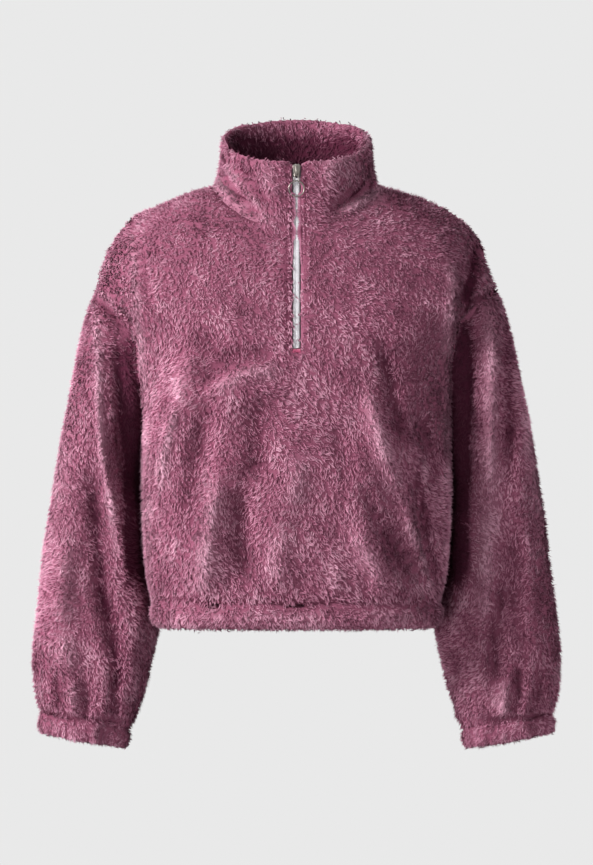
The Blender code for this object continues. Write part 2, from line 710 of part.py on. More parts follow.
sewn.append((("front", -1, 0), ("back", -1, 0), ("collar", 0, -half)))
for together in sewn:
    outs = [facing[name][row, number] for name, row, number in together]
    shared = unit(unit(sum(outs[:-1])) + outs[-1])
    for name, row, number in together:
        facing[name][row, number] = shared

# The hem and cuff seams, each in the plane of the casing below it
DOWN = np.array((0.0, 0.0, -1.0))
hem_ring = np.concatenate([grids["front"][0], grids["back"][0, -2:0:-1]])
for face in ("front", "back"):
    facing[face][0] = level(facing[face][0], DOWN)
cuff_down = {}
for side in ("sleeve_left", "sleeve_right"):
    ring = grids[side][-1]
    middle = ring.mean(axis=0)
    plane = np.linalg.svd(ring - middle)[2][2]
    plane = plane * -np.sign(plane[2])
    grids[side][-1] = ring - ((ring - middle) @ plane)[:, None] * plane
    facing[side][-1] = level(facing[side][-1], plane)
    cuff_down[side] = plane

# Front, cut open above the foot of the zip, and back
slit_row = SIDE_ROWS + round((ZIP_END_PLACE - 1) * ARMHOLE_ROWS)
slit = {(row, half - 1) for row in range(slit_row, len(grids["front"]) - 1)}
sewn_all_round = ("low", "high", "start", "end")
outer, inner = cloth_faces(grids["front"], facing["front"], sewn_all_round)
add_object("front", wall(outer, inner, missing=slit), FLEECE)
add_object("back", wall(*cloth_faces(grids["back"], facing["back"], sewn_all_round)), FLEECE)

# Sleeves and cuffs
for side, cuff in (("sleeve_left", "cuff_left"), ("sleeve_right", "cuff_right")):
    outer, inner = cloth_faces(grids[side], facing[side], ("low", "high"), closed=True)
    add_object(side, wall(outer, inner, closed=True), FLEECE)
    add_object(cuff, casing(grids[side][-1], cuff_down[side], CUFF_CASING), FLEECE)

# The casing along the hem
add_object("hem_band", casing(hem_ring, DOWN, HEM_CASING), FLEECE)

# The collar: up the outside, round the top fold and down the inside, with a slot between the layers
rise, out = grids["collar"].copy(), facing["collar"]
rise[0] += unit(rise[1] - rise[0]) * SEAM_SHARE
radius = CLOTH + COLLAR_SLOT / 2
centre = rise[-1] - out[-1] * radius
up = rise[-1] - rise[-2]
up = unit(up - (up * out[-1]).sum(axis=-1, keepdims=True) * out[-1])
shown, hidden = list(rise), list(rise - out * CLOTH)
shown[0] = shown[0] - out[0] * SEAM_DIP
for turn in [math.pi * step / COLLAR_TURN for step in range(1, COLLAR_TURN)]:
    towards = out[-1] * math.cos(turn) + up * math.sin(turn)
    shown.append(centre + towards * radius)
    hidden.append(centre + towards * COLLAR_SLOT / 2)
shown += list((rise - out * 2 * radius)[::-1])
hidden += list((rise - out * (CLOTH + COLLAR_SLOT))[::-1])
add_object("collar", wall(np.array(shown), np.array(hidden)), FLEECE)

# The zip's path: up the middle of the front, then up the collar
path = np.concatenate([grids["front"][slit_row - 1 :, half], grids["collar"][1:, 0]])
lean = np.concatenate([facing["front"][slit_row - 1 :, half], facing["collar"][1:, 0]])
path, lean = path * (0, 1, 1), unit(lean * (0, 1, 1))


def path_at(height):
    """The zip's path and its direction through the cloth at one height."""
    point = [np.interp(height, path[:, 2], path[:, k]) for k in (0, 1, 2)]
    through_cloth = [np.interp(height, path[:, 2], lean[:, k]) for k in (0, 1, 2)]
    return np.array(point), unit(np.array(through_cloth))


def path_between(low, high):
    """The path's own points between two heights, with a point at each end."""
    kept = (path[:, 2] > low + 0.001) & (path[:, 2] < high - 0.001)
    first, last = path_at(low), path_at(high)
    line = np.concatenate([[first[0]], path[kept], [last[0]]])
    return line, np.concatenate([[first[1]], lean[kept], [last[1]]])


tape_path, tape_lean = path_between(path[0, 2], path[-1, 2] - TAPE_SHORT)
for side, sign in (("left", -1), ("right", 1)):
    edges = sorted((sign * TAPE_INNER, sign * TAPE_OUTER))
    add_object("zip_tape_" + side, strip(tape_path, tape_lean, edges, TAPE_DEPTHS), TAPE_GREY)
line, out = path_between(STOP_HEIGHTS[1] + 0.0003, CHAIN_TOP)
chain = strip(line, out, (-CHAIN_HALF, CHAIN_HALF), CHAIN_DEPTHS)
add_object("zip_chain", chain, SILVER, 0.6, 0.35)
line, out = path_between(*STOP_HEIGHTS)
add_object("zip_stop", strip(line, out, (-STOP_HALF, STOP_HALF), STOP_DEPTHS), ROSE)

# The slider: a wedge-shaped body with a bridge that the pull hangs on
low, high = SLIDER_HEIGHTS
face_y = path_at((low + high) / 2)[0][1]
wedge = (
    (0.6 * SLIDER_WAIST, low),
    (SLIDER_WAIST, low + 0.0008),
    (SLIDER_WAIST, low + 0.0040),
    (SLIDER_SHOULDER, low + 0.0085),
    (SLIDER_SHOULDER, high - 0.0016),
    (0.6 * SLIDER_SHOULDER, high),
)
wedge = [*wedge, *[(-x, z) for x, z in reversed(wedge)]]
body = profile_solid(wedge, *SLIDER_DEPTHS, lambda x, z, depth: (x, face_y + depth, z))
foot, head = BRIDGE_HEIGHTS
reach = BRIDGE_OPEN + BRIDGE_STRAP
arch = (
    (BRIDGE_ROOT, foot),
    (-0.7 * reach, foot),
    (-reach, foot + 0.0012),
    (-reach, head - 0.0030),
    (-0.5 * reach, head),
    (BRIDGE_ROOT, head),
    (BRIDGE_ROOT, head - 2 * BRIDGE_STRAP),
    (-0.35 * BRIDGE_OPEN, head - 2 * BRIDGE_STRAP),
    (-BRIDGE_OPEN, head - 0.0036),
    (-BRIDGE_OPEN, foot + BRIDGE_STRAP + 0.0008),
    (-0.6 * BRIDGE_OPEN, foot + BRIDGE_STRAP),
    (BRIDGE_ROOT, foot + BRIDGE_STRAP),
)
bridge = profile_solid(arch, -BRIDGE_HALF, BRIDGE_HALF, lambda y, z, x: (x, face_y + y, z))
united("zip_slider", body, bridge, SILVER, 0.9, 0.3)

# The pull: a wire loop through the bridge with the ring hanging from it
hinge_y = path_at(HINGE_HEIGHT)[0][1] - HINGE_OUT
ring_top = RING_HEIGHT + RING_RADIUS
loop = (
    (LOOP_HALF - LOOP_CORNER, HINGE_HEIGHT),
    (LOOP_HALF, HINGE_HEIGHT - LOOP_CORNER),
    (LOOP_HALF, ring_top + 2 * LOOP_CORNER),
    (LOOP_HALF - LOOP_CORNER, ring_top),
)
loop = np.array([(x, hinge_y, z) for x, z in [*loop, *[(-x, z) for x, z in reversed(loop)]]])
turn = np.arange(RING_STEPS) * math.tau / RING_STEPS
circle = np.stack([RING_RADIUS * np.sin(turn), 0 * turn, RING_RADIUS * np.cos(turn)], axis=-1)
circle = circle + (0, hinge_y, RING_HEIGHT)
forward = np.array((0.0, 1.0, 0.0))
ring, loop = wire(circle, RING_WIRE, forward), wire(loop, LOOP_WIRE, forward)
united("zip_pull", ring, loop, SILVER, 0.95, 0.25)
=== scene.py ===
"""Cropped half-zip top in deep-pile fleece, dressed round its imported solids.

Units are metres, +Z is up and the front faces -Y. The solids' outer faces are at the tips of the pile.
"""

import json
import math

import bmesh
import bpy
import numpy as np
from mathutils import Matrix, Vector
from mathutils.bvhtree import BVHTree

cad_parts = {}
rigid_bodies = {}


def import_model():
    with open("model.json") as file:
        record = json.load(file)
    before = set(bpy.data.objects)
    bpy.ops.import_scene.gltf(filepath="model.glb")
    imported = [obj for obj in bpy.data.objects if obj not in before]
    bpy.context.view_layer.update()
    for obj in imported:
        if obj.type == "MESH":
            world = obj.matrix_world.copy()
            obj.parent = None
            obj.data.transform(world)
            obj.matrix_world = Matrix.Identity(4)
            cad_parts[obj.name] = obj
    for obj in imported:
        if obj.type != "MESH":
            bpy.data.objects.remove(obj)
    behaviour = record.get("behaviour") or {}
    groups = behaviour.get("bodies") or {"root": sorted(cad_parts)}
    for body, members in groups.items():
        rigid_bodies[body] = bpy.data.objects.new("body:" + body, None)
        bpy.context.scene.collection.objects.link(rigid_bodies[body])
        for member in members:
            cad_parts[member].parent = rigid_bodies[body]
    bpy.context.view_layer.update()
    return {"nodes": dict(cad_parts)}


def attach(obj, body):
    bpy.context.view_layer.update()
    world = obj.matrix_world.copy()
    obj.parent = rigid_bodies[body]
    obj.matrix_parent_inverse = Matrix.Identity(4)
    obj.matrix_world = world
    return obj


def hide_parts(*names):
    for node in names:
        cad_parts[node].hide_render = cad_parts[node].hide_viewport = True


for thing in list(bpy.data.objects):
    bpy.data.objects.remove(thing)
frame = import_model()

# Camera, light and floor.
# The top is shown level, square to its front, in soft light that comes mostly from its left,
# in front of a plain pale grey.
CAMERA_AWAY = 4.5
FRAME_HEIGHT = 0.969  # what the picture's height covers, at the top's middle
VIEW_HEIGHT = -0.275
SENSOR = 0.036
BACKGROUND = (0.815, 0.815, 0.815, 1.0)
FLOOR_HEIGHT = -1.1
FLOOR_HALF = 3.0

# The lamps: place, width, power, colour
LAMPS = {
    "window": ((-3.35, -2.15, 1.25), 1.2, 388, (1.0, 0.985, 0.97)),
    "front": ((-0.6, -4.2, 0.9), 2.2, 8, (1.0, 0.99, 0.98)),
    "right": ((3.2, -1.6, 0.5), 2.0, 3, (0.97, 0.98, 1.0)),
    "behind": ((0.3, 3.4, 1.9), 2.6, 230, (1.0, 1.0, 1.0)),
}


def aimed(item, place, target):
    item.location = place
    item.rotation_mode = "QUATERNION"
    item.rotation_quaternion = (Vector(target) - Vector(place)).to_track_quat("-Z", "Y")
    bpy.context.scene.collection.objects.link(item)


def plain_material(name, colour, rough):
    made = bpy.data.materials.new(name)
    made.use_nodes = True
    shader = made.node_tree.nodes["Principled BSDF"]
    shader.inputs["Base Color"].default_value = colour
    shader.inputs["Roughness"].default_value = rough
    return made


lens = bpy.data.cameras.new("camera")
lens.sensor_width = SENSOR * 1000
lens.lens = lens.sensor_width * CAMERA_AWAY / FRAME_HEIGHT
camera = bpy.data.objects.new("camera", lens)
aimed(camera, (0, -CAMERA_AWAY, VIEW_HEIGHT), (0, 0, VIEW_HEIGHT))
bpy.context.scene.camera = camera
bpy.context.scene.view_settings.view_transform = "Standard"

for name, (place, width, power, colour) in LAMPS.items():
    lamp = bpy.data.lights.new(name, "AREA")
    lamp.size = width
    lamp.energy = power
    lamp.color = colour
    aimed(bpy.data.objects.new(name, lamp), place, (0, 0, VIEW_HEIGHT))

room = bpy.data.worlds.new("room")
room.use_nodes = True
room.node_tree.nodes["Background"].inputs["Color"].default_value = BACKGROUND
bpy.context.scene.world = room

work = bmesh.new()
bmesh.ops.create_grid(work, x_segments=1, y_segments=1, size=FLOOR_HALF)
bmesh.ops.translate(work, verts=work.verts, vec=(0, 0, FLOOR_HEIGHT))
floor_mesh = bpy.data.meshes.new("floor")
work.to_mesh(floor_mesh)
work.free()
floor = bpy.data.objects.new("floor", floor_mesh)
bpy.context.scene.collection.objects.link(floor)
floor_mesh.materials.append(plain_material("floor", (0.42, 0.42, 0.42, 1), 0.9))

# The cut cloth.
# Front, back, sleeves, collar, hem casing and cuff casings are cut from one deep-pile fleece: a fine
# knit back with long soft fibres that lean and clump. The pieces meet at seams that pull the pile in.
# All are first laid out as one skin at the tips of the pile, and each piece is then cut from it.
CLOTH_NODES = (
    "front",
    "back",
    "sleeve_left",
    "sleeve_right",
    "collar",
    "hem_band",
    "cuff_left",
    "cuff_right",
)
WALL_REACH = 0.0095  # a wall's other side is nearer than this
WALL_TURN = -0.35  # and faces roughly the other way
SLOT_REACH = 0.0030  # and a layer of the folded collar nearer than this
SEAM_REACH = 0.0013  # points this near each other are one point of a seam
ARM_AXIS = ((0.195, 0.0, -0.17), (0.245, 0.037, -0.60))
KNIT_LEVEL, PILE_LEVEL = 1, 2  # how finely the skin is divided for each
SKIN_SWELL = 0.0018  # dividing the skin draws it in by about this much
SHOULDER_LOFT = 0.0022  # how much higher the pile stands along the tops of the shoulders
NECK_SIDE, SHOULDER_FOOT = 0.085, -0.125  # where the shoulders begin, outwards and upwards
ARM_REST = 0.0080  # how far the sleeves' inner sides come in to lie behind the body's edge
ARM_REST_TOP, ARM_REST_FOOT = -0.205, -0.54
ARM_REST_NEAR, ARM_REST_FAR = 0.14, 0.205  # from the middle
CUFF_DROP = 0.0075  # how much lower the cuffs hang on their inner sides
CUFF_DROP_TOP = -0.555
CUFF_OUTER, CUFF_WIDTH = 0.285, 0.085

# The main creases: the side they face, top and bottom as the distance across and the height,
# sideways bow, half width, height. A trough has a negative height.
CREASES = (
    # Body, front
    ("front", -0.170, -0.075, -0.160, -0.150, 0.000, 0.0050, -0.0040),
    ("front", -0.182, -0.062, -0.171, -0.225, -0.002, 0.0034, 0.0075),
    ("front", -0.111, -0.190, -0.130, -0.240, 0.004, 0.0090, 0.0030),
    ("front", -0.131, -0.246, -0.149, -0.335, 0.003, 0.0044, 0.0080),
    ("front", -0.098, -0.250, -0.125, -0.395, 0.000, 0.0120, -0.0055),
    ("front", -0.097, -0.160, -0.094, -0.225, 0.000, 0.0140, -0.0045),
    ("front", -0.088, -0.332, -0.101, -0.446, 0.003, 0.0085, 0.0070),
    ("front", -0.060, -0.342, -0.057, -0.440, 0.000, 0.0120, -0.0065),
    ("front", -0.025, -0.205, -0.095, -0.229, 0.003, 0.0080, 0.0055),
    ("front", -0.028, -0.185, -0.085, -0.195, 0.000, 0.0100, -0.0050),
    ("front", -0.040, -0.240, -0.046, -0.325, 0.000, 0.0150, -0.0065),
    ("front", 0.002, -0.305, -0.004, -0.350, 0.000, 0.0120, 0.0035),
    ("front", -0.020, -0.385, -0.022, -0.440, 0.000, 0.0110, 0.0035),
    ("front", 0.079, -0.236, 0.110, -0.335, 0.003, 0.0080, 0.0065),
    ("front", 0.092, -0.175, 0.116, -0.285, 0.000, 0.0080, -0.0060),
    ("front", 0.132, -0.312, 0.157, -0.448, 0.003, 0.0060, -0.0080),
    ("front", 0.115, -0.345, 0.150, -0.440, 0.002, 0.0065, 0.0040),
    ("front", 0.098, -0.372, 0.140, -0.436, 0.002, 0.0045, -0.0045),
    ("front", 0.071, -0.325, 0.122, -0.440, 0.002, 0.0055, -0.0055),
    ("front", 0.136, -0.250, 0.156, -0.335, 0.000, 0.0080, -0.0060),
    ("front", 0.066, -0.380, 0.096, -0.448, 0.003, 0.0110, 0.0050),
    ("front", 0.042, -0.270, 0.060, -0.330, 0.000, 0.0110, -0.0045),
    ("front", 0.105, -0.185, 0.120, -0.225, 0.000, 0.0140, -0.0035),
    ("front", 0.171, -0.085, 0.167, -0.190, 0.000, 0.0065, 0.0045),
    ("front", -0.167, -0.180, -0.164, -0.440, 0.000, 0.0045, 0.0040),
    ("front", 0.167, -0.180, 0.165, -0.440, 0.000, 0.0045, 0.0030),
    ("front", -0.150, -0.4650, 0.150, -0.4650, 0.000, 0.0035, -0.0020),
    ("front", -0.150, -0.4780, 0.150, -0.4780, 0.000, 0.0080, 0.0020),
    # Body, front, small gathers above the hem
    ("front", -0.142, -0.425, -0.143, -0.449, 0.000, 0.0060, -0.0030),
    ("front", -0.118, -0.420, -0.120, -0.449, 0.000, 0.0060, 0.0026),
    ("front", -0.074, -0.430, -0.075, -0.449, 0.000, 0.0050, -0.0024),
    ("front", -0.036, -0.425, -0.035, -0.449, 0.000, 0.0060, -0.0024),
    ("front", 0.006, -0.430, 0.006, -0.449, 0.000, 0.0055, -0.0024),
    ("front", 0.040, -0.420, 0.042, -0.449, 0.000, 0.0060, 0.0024),
    ("front", 0.074, -0.430, 0.076, -0.449, 0.000, 0.0055, -0.0024),
    ("front", 0.112, -0.425, 0.113, -0.449, 0.000, 0.0060, 0.0026),
    # Body, back
    ("back", -0.120, -0.180, -0.142, -0.330, 0.006, 0.0110, 0.0050),
    ("back", -0.094, -0.215, -0.112, -0.430, 0.004, 0.0120, -0.0055),
    ("back", -0.070, -0.330, -0.078, -0.455, 0.000, 0.0100, 0.0050),
    ("back", 0.112, -0.170, 0.140, -0.345, 0.008, 0.0110, 0.0055),
    ("back", 0.086, -0.225, 0.104, -0.440, 0.004, 0.0120, -0.0060),
    ("back", 0.062, -0.345, 0.070, -0.455, 0.000, 0.0100, 0.0045),
    ("back", -0.028, -0.290, -0.040, -0.420, 0.004, 0.0140, 0.0040),
    ("back", 0.020, -0.330, 0.030, -0.450, 0.004, 0.0120, -0.0040),
    ("back", 0.010, -0.130, -0.006, -0.230, 0.002, 0.0150, -0.0040),
    ("back", 0.150, -0.360, 0.140, -0.455, 0.002, 0.0100, -0.0045),
    ("back", -0.150, -0.345, -0.146, -0.450, 0.002, 0.0100, -0.0050),
    # Sleeves, front
    ("front", -0.226, -0.112, -0.178, -0.164, -0.002, 0.0027, 0.0070),
    ("front", -0.228, -0.122, -0.184, -0.172, -0.002, 0.0038, -0.0070),
    ("left", -0.050, -0.1130, 0.050, -0.1180, 0.000, 0.0045, -0.0030),
    ("right", -0.050, -0.1130, 0.050, -0.1180, 0.000, 0.0045, -0.0030),
    ("front", 0.224, -0.107, 0.196, -0.121, 0.000, 0.0030, 0.0045),
    ("front", 0.226, -0.115, 0.196, -0.130, 0.000, 0.0035, -0.0050),
    ("front", -0.285, -0.5915, -0.190, -0.5985, 0.000, 0.0030, -0.0045),
    ("front", 0.285, -0.5915, 0.190, -0.5985, 0.000, 0.0030, -0.0045),
    ("front", -0.222, -0.130, -0.216, -0.300, 0.000, 0.0036, 0.0080),
    ("front", -0.216, -0.285, -0.193, -0.430, 0.003, 0.0050, 0.0075),
    ("front", -0.201, -0.160, -0.184, -0.340, 0.000, 0.0080, -0.0095),
    ("front", -0.228, -0.325, -0.215, -0.470, 0.000, 0.0100, -0.0085),
    ("front", -0.215, -0.455, -0.196, -0.560, 0.000, 0.0100, -0.0085),
    ("front", -0.252, -0.390, -0.262, -0.480, 0.003, 0.0110, 0.0040),
    ("front", -0.262, -0.505, -0.256, -0.540, 0.000, 0.0120, 0.0050),
    ("front", -0.270, -0.545, -0.266, -0.588, 0.000, 0.0070, -0.0055),
    ("front", -0.254, -0.555, -0.250, -0.592, 0.000, 0.0060, 0.0040),
    ("front", -0.238, -0.550, -0.234, -0.592, 0.000, 0.0060, -0.0055),
    ("front", -0.202, -0.545, -0.206, -0.595, 0.000, 0.0060, -0.0060),
    ("front", 0.201, -0.066, 0.188, -0.130, -0.002, 0.0075, -0.0100),
    ("front", 0.188, -0.125, 0.187, -0.340, 0.000, 0.0070, -0.0100),
    ("front", 0.215, -0.130, 0.215, -0.345, 0.000, 0.0080, 0.0070),
    ("front", 0.234, -0.140, 0.240, -0.330, 0.000, 0.0080, -0.0070),
    ("front", 0.216, -0.360, 0.212, -0.480, 0.002, 0.0100, 0.0050),
    ("front", 0.246, -0.380, 0.252, -0.520, 0.003, 0.0100, -0.0050),
    ("front", 0.228, -0.440, 0.222, -0.560, 0.002, 0.0090, -0.0060),
    ("front", 0.251, -0.535, 0.246, -0.590, 0.000, 0.0060, -0.0060),
    ("front", 0.232, -0.550, 0.231, -0.592, 0.000, 0.0060, 0.0045),
    ("front", 0.272, -0.545, 0.268, -0.588, 0.000, 0.0060, -0.0045),
    # Cuffs, front
    ("front", -0.266, -0.604, -0.267, -0.622, 0.000, 0.0042, -0.0024),
    ("front", -0.250, -0.604, -0.249, -0.625, 0.000, 0.0048, 0.0018),
    ("front", -0.235, -0.606, -0.233, -0.628, 0.000, 0.0042, -0.0024),
    ("front", -0.216, -0.608, -0.214, -0.630, 0.000, 0.0042, -0.0022),
    ("front", 0.268, -0.603, 0.269, -0.622, 0.000, 0.0042, -0.0022),
    ("front", 0.251, -0.604, 0.250, -0.625, 0.000, 0.0042, -0.0024),
    ("front", 0.233, -0.606, 0.231, -0.628, 0.000, 0.0048, 0.0018),
    ("front", 0.217, -0.608, 0.214, -0.630, 0.000, 0.0042, -0.0024),
    # Sleeves, back
    ("back", -0.215, -0.180, -0.224, -0.380, 0.004, 0.0110, 0.0050),
    ("back", -0.238, -0.260, -0.250, -0.430, 0.003, 0.0100, -0.0050),
    ("back", -0.205, -0.420, -0.218, -0.540, 0.000, 0.0100, -0.0055),
    ("back", -0.250, -0.540, -0.246, -0.590, 0.000, 0.0070, -0.0055),
    ("back", 0.216, -0.190, 0.228, -0.370, 0.004, 0.0110, 0.0050),
    ("back", 0.240, -0.280, 0.252, -0.460, 0.003, 0.0100, -0.0055),
    ("back", 0.208, -0.400, 0.214, -0.530, 0.000, 0.0100, -0.0050),
    ("back", 0.222, -0.545, 0.226, -0.592, 0.000, 0.0070, -0.0055),
    # Sleeves, outer sides
    ("left", -0.020, -0.260, 0.010, -0.430, 0.004, 0.0110, 0.0045),
    ("left", 0.030, -0.330, 0.046, -0.500, 0.003, 0.0110, -0.0050),
    ("left", 0.036, -0.545, 0.038, -0.590, 0.000, 0.0070, -0.0050),
    ("right", -0.022, -0.230, 0.004, -0.400, 0.004, 0.0110, 0.0045),
    ("right", 0.026, -0.300, 0.044, -0.480, 0.003, 0.0110, -0.0050),
    ("right", 0.022, -0.540, 0.026, -0.588, 0.000, 0.0070, -0.0050),
    # Collar
    ("front", -0.070, 0.026, -0.029, -0.022, 0.002, 0.0060, -0.0050),
    ("front", -0.079, 0.024, -0.036, -0.031, 0.002, 0.0036, 0.0046),
    ("front", -0.083, 0.012, -0.042, -0.036, 0.002, 0.0046, -0.0085),
    ("front", -0.090, 0.005, -0.026, -0.048, 0.002, 0.0040, 0.0040),
    ("front", -0.040, 0.018, -0.022, -0.016, 0.000, 0.0080, 0.0030),
    ("front", 0.092, 0.006, 0.042, -0.023, 0.000, 0.0052, -0.0080),
    ("front", 0.095, -0.006, 0.050, -0.034, 0.000, 0.0050, 0.0045),
    ("front", 0.060, 0.030, 0.030, 0.006, 0.002, 0.0090, 0.0030),
    ("back", -0.070, 0.030, -0.030, 0.002, 0.002, 0.0080, -0.0030),
    ("back", 0.072, 0.030, 0.036, 0.000, 0.002, 0.0080, -0.0030),
)
FACING = {"front": (1, -1), "back": (1, 1), "left": (0, -1), "right": (0, 1)}


def outward_at(name, place):
    """Roughly which way the outside of a cloth piece is at a place."""
    if name.startswith("sleeve"):
        side = Vector((-1, 1, 1)) if name == "sleeve_left" else Vector((1, 1, 1))
        start, end = (Vector(p) * side for p in ARM_AXIS)
        share = (place - start).dot(end - start) / (end - start).length_squared
        return place - start.lerp(end, min(max(share, 0), 1))
    return place - Vector((0.55 * place.x, 0, min(place.z, -0.16)))


def is_shown(face, name, tree):
    """True for a face of the cloth's right side, and not of its back or of a cut edge."""
    centre, normal = face.calc_center_median(), face.normal
    if name.startswith(("hem", "cuff")):
        return normal.z < 0.6
    behind = tree.ray_cast(centre - normal * 1e-5, -normal, WALL_REACH)[1]
    if behind is None or behind.dot(normal) > WALL_TURN:
        return False
    if name == "collar":
        return tree.ray_cast(centre + normal * 1e-5, normal, SLOT_REACH)[0] is None
    return normal.dot(outward_at(name, centre)) > 0


skin = bmesh.new()
for number, name in enumerate(CLOTH_NODES):
    piece = bmesh.new()
    piece.from_mesh(frame["nodes"][name].data)
    bmesh.ops.remove_doubles(piece, verts=piece.verts, dist=1e-6)
    piece.normal_update()
    tree = BVHTree.FromBMesh(piece)
    hidden = [f for f in piece.faces if not is_shown(f, name, tree)]
    bmesh.ops.delete(piece, geom=hidden, context="FACES")
    for face in piece.faces:
        face.material_index = number
    mesh = bpy.data.meshes.new(name)
    piece.to_mesh(mesh)
    piece.free()
    skin.from_mesh(mesh)
    bpy.data.meshes.remove(mesh)
bmesh.ops.remove_doubles(skin, verts=skin.verts, dist=SEAM_REACH)
bmesh.ops.join_triangles(
    skin, faces=skin.faces, angle_face_threshold=math.pi, angle_shape_threshold=math.pi, cmp_materials=True
)
skin_mesh = bpy.data.meshes.new("skin")
skin.to_mesh(skin_mesh)
skin.free()
skin_item = bpy.data.objects.new("skin", skin_mesh)
bpy.context.scene.collection.objects.link(skin_item)


def numbers(items, word, width=1, kind=float):
    """One property of all of a mesh's items, as an array."""
    values = np.empty(len(items) * width, kind)
    items.foreach_get(word, values)
    return values.reshape(-1, width) if width > 1 else values


def unit(vectors):
    return vectors / np.maximum(np.linalg.norm(vectors, axis=-1, keepdims=True), 1e-9)


def smooth_step(value):
    """0 up to 0, 1 from 1 on, and a soft S between."""
    t = np.clip(value, 0.0, 1.0)
    return t * t * (3 - 2 * t)


def creased(points, normals):
    """How far each point is lifted by the creases that face the same way as it does."""
    lift = np.zeros(len(points))
    for side, top_a, top_z, low_a, low_z, bow, width, height in CREASES:
        axis, sign = FACING[side]
        aside = points[:, 1 - axis]
        run_a, run_z = low_a - top_a, low_z - top_z
        length = math.hypot(run_a, run_z)
        along = ((aside - top_a) * run_a + (points[:, 2] - top_z) * run_z) / length**2
        off = ((aside - top_a) * run_z - (points[:, 2] - top_z) * run_a) / length
        off = off - bow * np.sin(math.pi * np.clip(along, 0, 1))
        ends = smooth_step((along + 0.15) / 0.35) * smooth_step((1.15 - along) / 0.35)
        faced = smooth_step((normals[:, axis] * sign + 0.05) / 0.35)
        lift = lift + height * ends * faced * np.exp(-((off / width) ** 2))
    return lift


def rested(points, normals):
    """The points with the sleeves' inner sides against the body, lofty shoulders and sloping cuffs."""
    side, far, height = np.sign(points[:, 0]), np.abs(points[:, 0]), points[:, 2]
    inward = smooth_step((-normals[:, 0] * side - 0.1) / 0.4)
    inward = inward * smooth_step((ARM_REST_TOP - height) / 0.05)
    inward = inward * smooth_step((height - ARM_REST_FOOT) / 0.06)
    inward = inward * smooth_step((ARM_REST_FAR - far) / 0.02) * smooth_step((far - ARM_REST_NEAR) / 0.01)
    loft = smooth_step((normals[:, 2] - 0.25) / 0.4) * smooth_step((far - NECK_SIDE) / 0.03)
    loft = loft * (height > SHOULDER_FOOT) * SHOULDER_LOFT
    drop = smooth_step((CUFF_DROP_TOP - height) / 0.04) * CUFF_DROP
    drop = drop * np.clip((CUFF_OUTER - far) / CUFF_WIDTH, 0, 1.1)
    moved = np.stack([-side * inward * ARM_REST, 0 * drop, -drop], axis=1)
    return points + moved + normals * loft[:, None]


def divided(level):
    """The skin divided this finely, with its creases: points, normals, quads and their piece."""
    finer = skin_item.modifiers.new("finer", "SUBSURF")
    finer.levels = finer.render_levels = level
    scene_now = bpy.context.evaluated_depsgraph_get()
    fine = bpy.data.meshes.new_from_object(skin_item.evaluated_get(scene_now))
    skin_item.modifiers.clear()
    flat, normals = numbers(fine.vertices, "co", 3), numbers(fine.vertex_normals, "vector", 3)
    flat = rested(flat, normals)
    raised = flat + normals * (SKIN_SWELL + creased(flat, normals))[:, None]
    fine.vertices.foreach_set("co", raised.astype(np.float32).ravel())
    fine.update()
    normals = numbers(fine.vertex_normals, "vector", 3)
    return {
        "points": raised,
        "normals": normals,
        "quads": numbers(fine.loops, "vertex_index", kind=np.int32).reshape(-1, 4),
        "piece": numbers(fine.polygons, "material_index", kind=np.int32),
    }


knit_skin, pile_skin = divided(KNIT_LEVEL), divided(PILE_LEVEL)
bpy.data.objects.remove(skin_item)

# Front and back.
# Two panels cut from the fleece, sewn to each other along the sides and shoulders. The front is cut
# open down its middle for the zip, and the fleece's edges are turned under and stitched there.
# The cut's width and length, and the share of that rectangle that the piece fills
BODY_CUT = {"front": (0.50, 0.52, 0.80), "back": (0.50, 0.54, 0.80)}

KNIT_DEPTH = 0.0033  # from the tips of the pile to the knit
KNIT = 0.0011
LOCK_SPACING = 0.00205
LOCK_WIDTH = 0.00158
LOCK_HEIGHT = 0.0036
LOCK_REACH = 0.0039
TUFT = 4  # locks that lean together
GATHER = 0.6  # how much nearer the tips of a tuft are than its roots
CREASE_PAINTED_SHADING = 58.0  # painted shade down in a crease and painted highlight along a fold
EVEN_CLOTH = 0.7  # no pile is set where the skin is crumpled more than this, in the depth of a seam
STRAY_SHARE, STRAY_TALLER = 0.08, 0.35  # some locks stand out of the rest
TUFT_TONE, LOCK_TONE = 0.12, 0.06  # how much tufts and locks differ in tone
# How far the nap turns, in radians, and how much its tone changes, over several distances
NAP_SWIRLS = ((0.8, 0.13, 11), (0.25, 0.035, 12), (0.30, 0.012, 14))
PALE_PATCHES = ((0.17, 0.045, 13), (0.06, 0.012, 15))
# Light falls on a lock partly by its upper side, partly as on the cloth, partly round its form
LOCK_LIGHT = (0.30, 0.55, 0.40)
SEED = 7

# Beside the zip the fleece is turned under and stitched down. On its right the turned edge lies
# flat with short pile, then come the stitches and a low ridge; on its left it is rolled.
ZIP_FOOT = -0.192
EDGE_BAND = 0.0082  # from the centre line to the stitches
STITCH_BAND = 0.0100
STITCHED_SHORTER, TURNED_SHORTER = 0.7, 0.42  # how much shorter the pile is at both
NAP_SPREAD = 0.017
ZIP_NAP = (0.35, 0.0, -0.8)  # the way the pile is brushed there
# Lines along it: place across, half width, height of the ridge or groove, and tone, which is a painted
# highlight on the flat band and the ridges and painted shade in the grooves
ZIP_LINES = (
    (0.0066, 0.0016, 0.0, 0.25),
    (0.0095, 0.0007, -0.0008, -0.45),
    (0.0124, 0.0016, 0.0014, 0.20),
    (-0.0066, 0.0018, 0.0012, 0.28),
    (-0.0112, 0.0011, -0.0010, -0.50),
)

chance = np.random.default_rng(SEED)


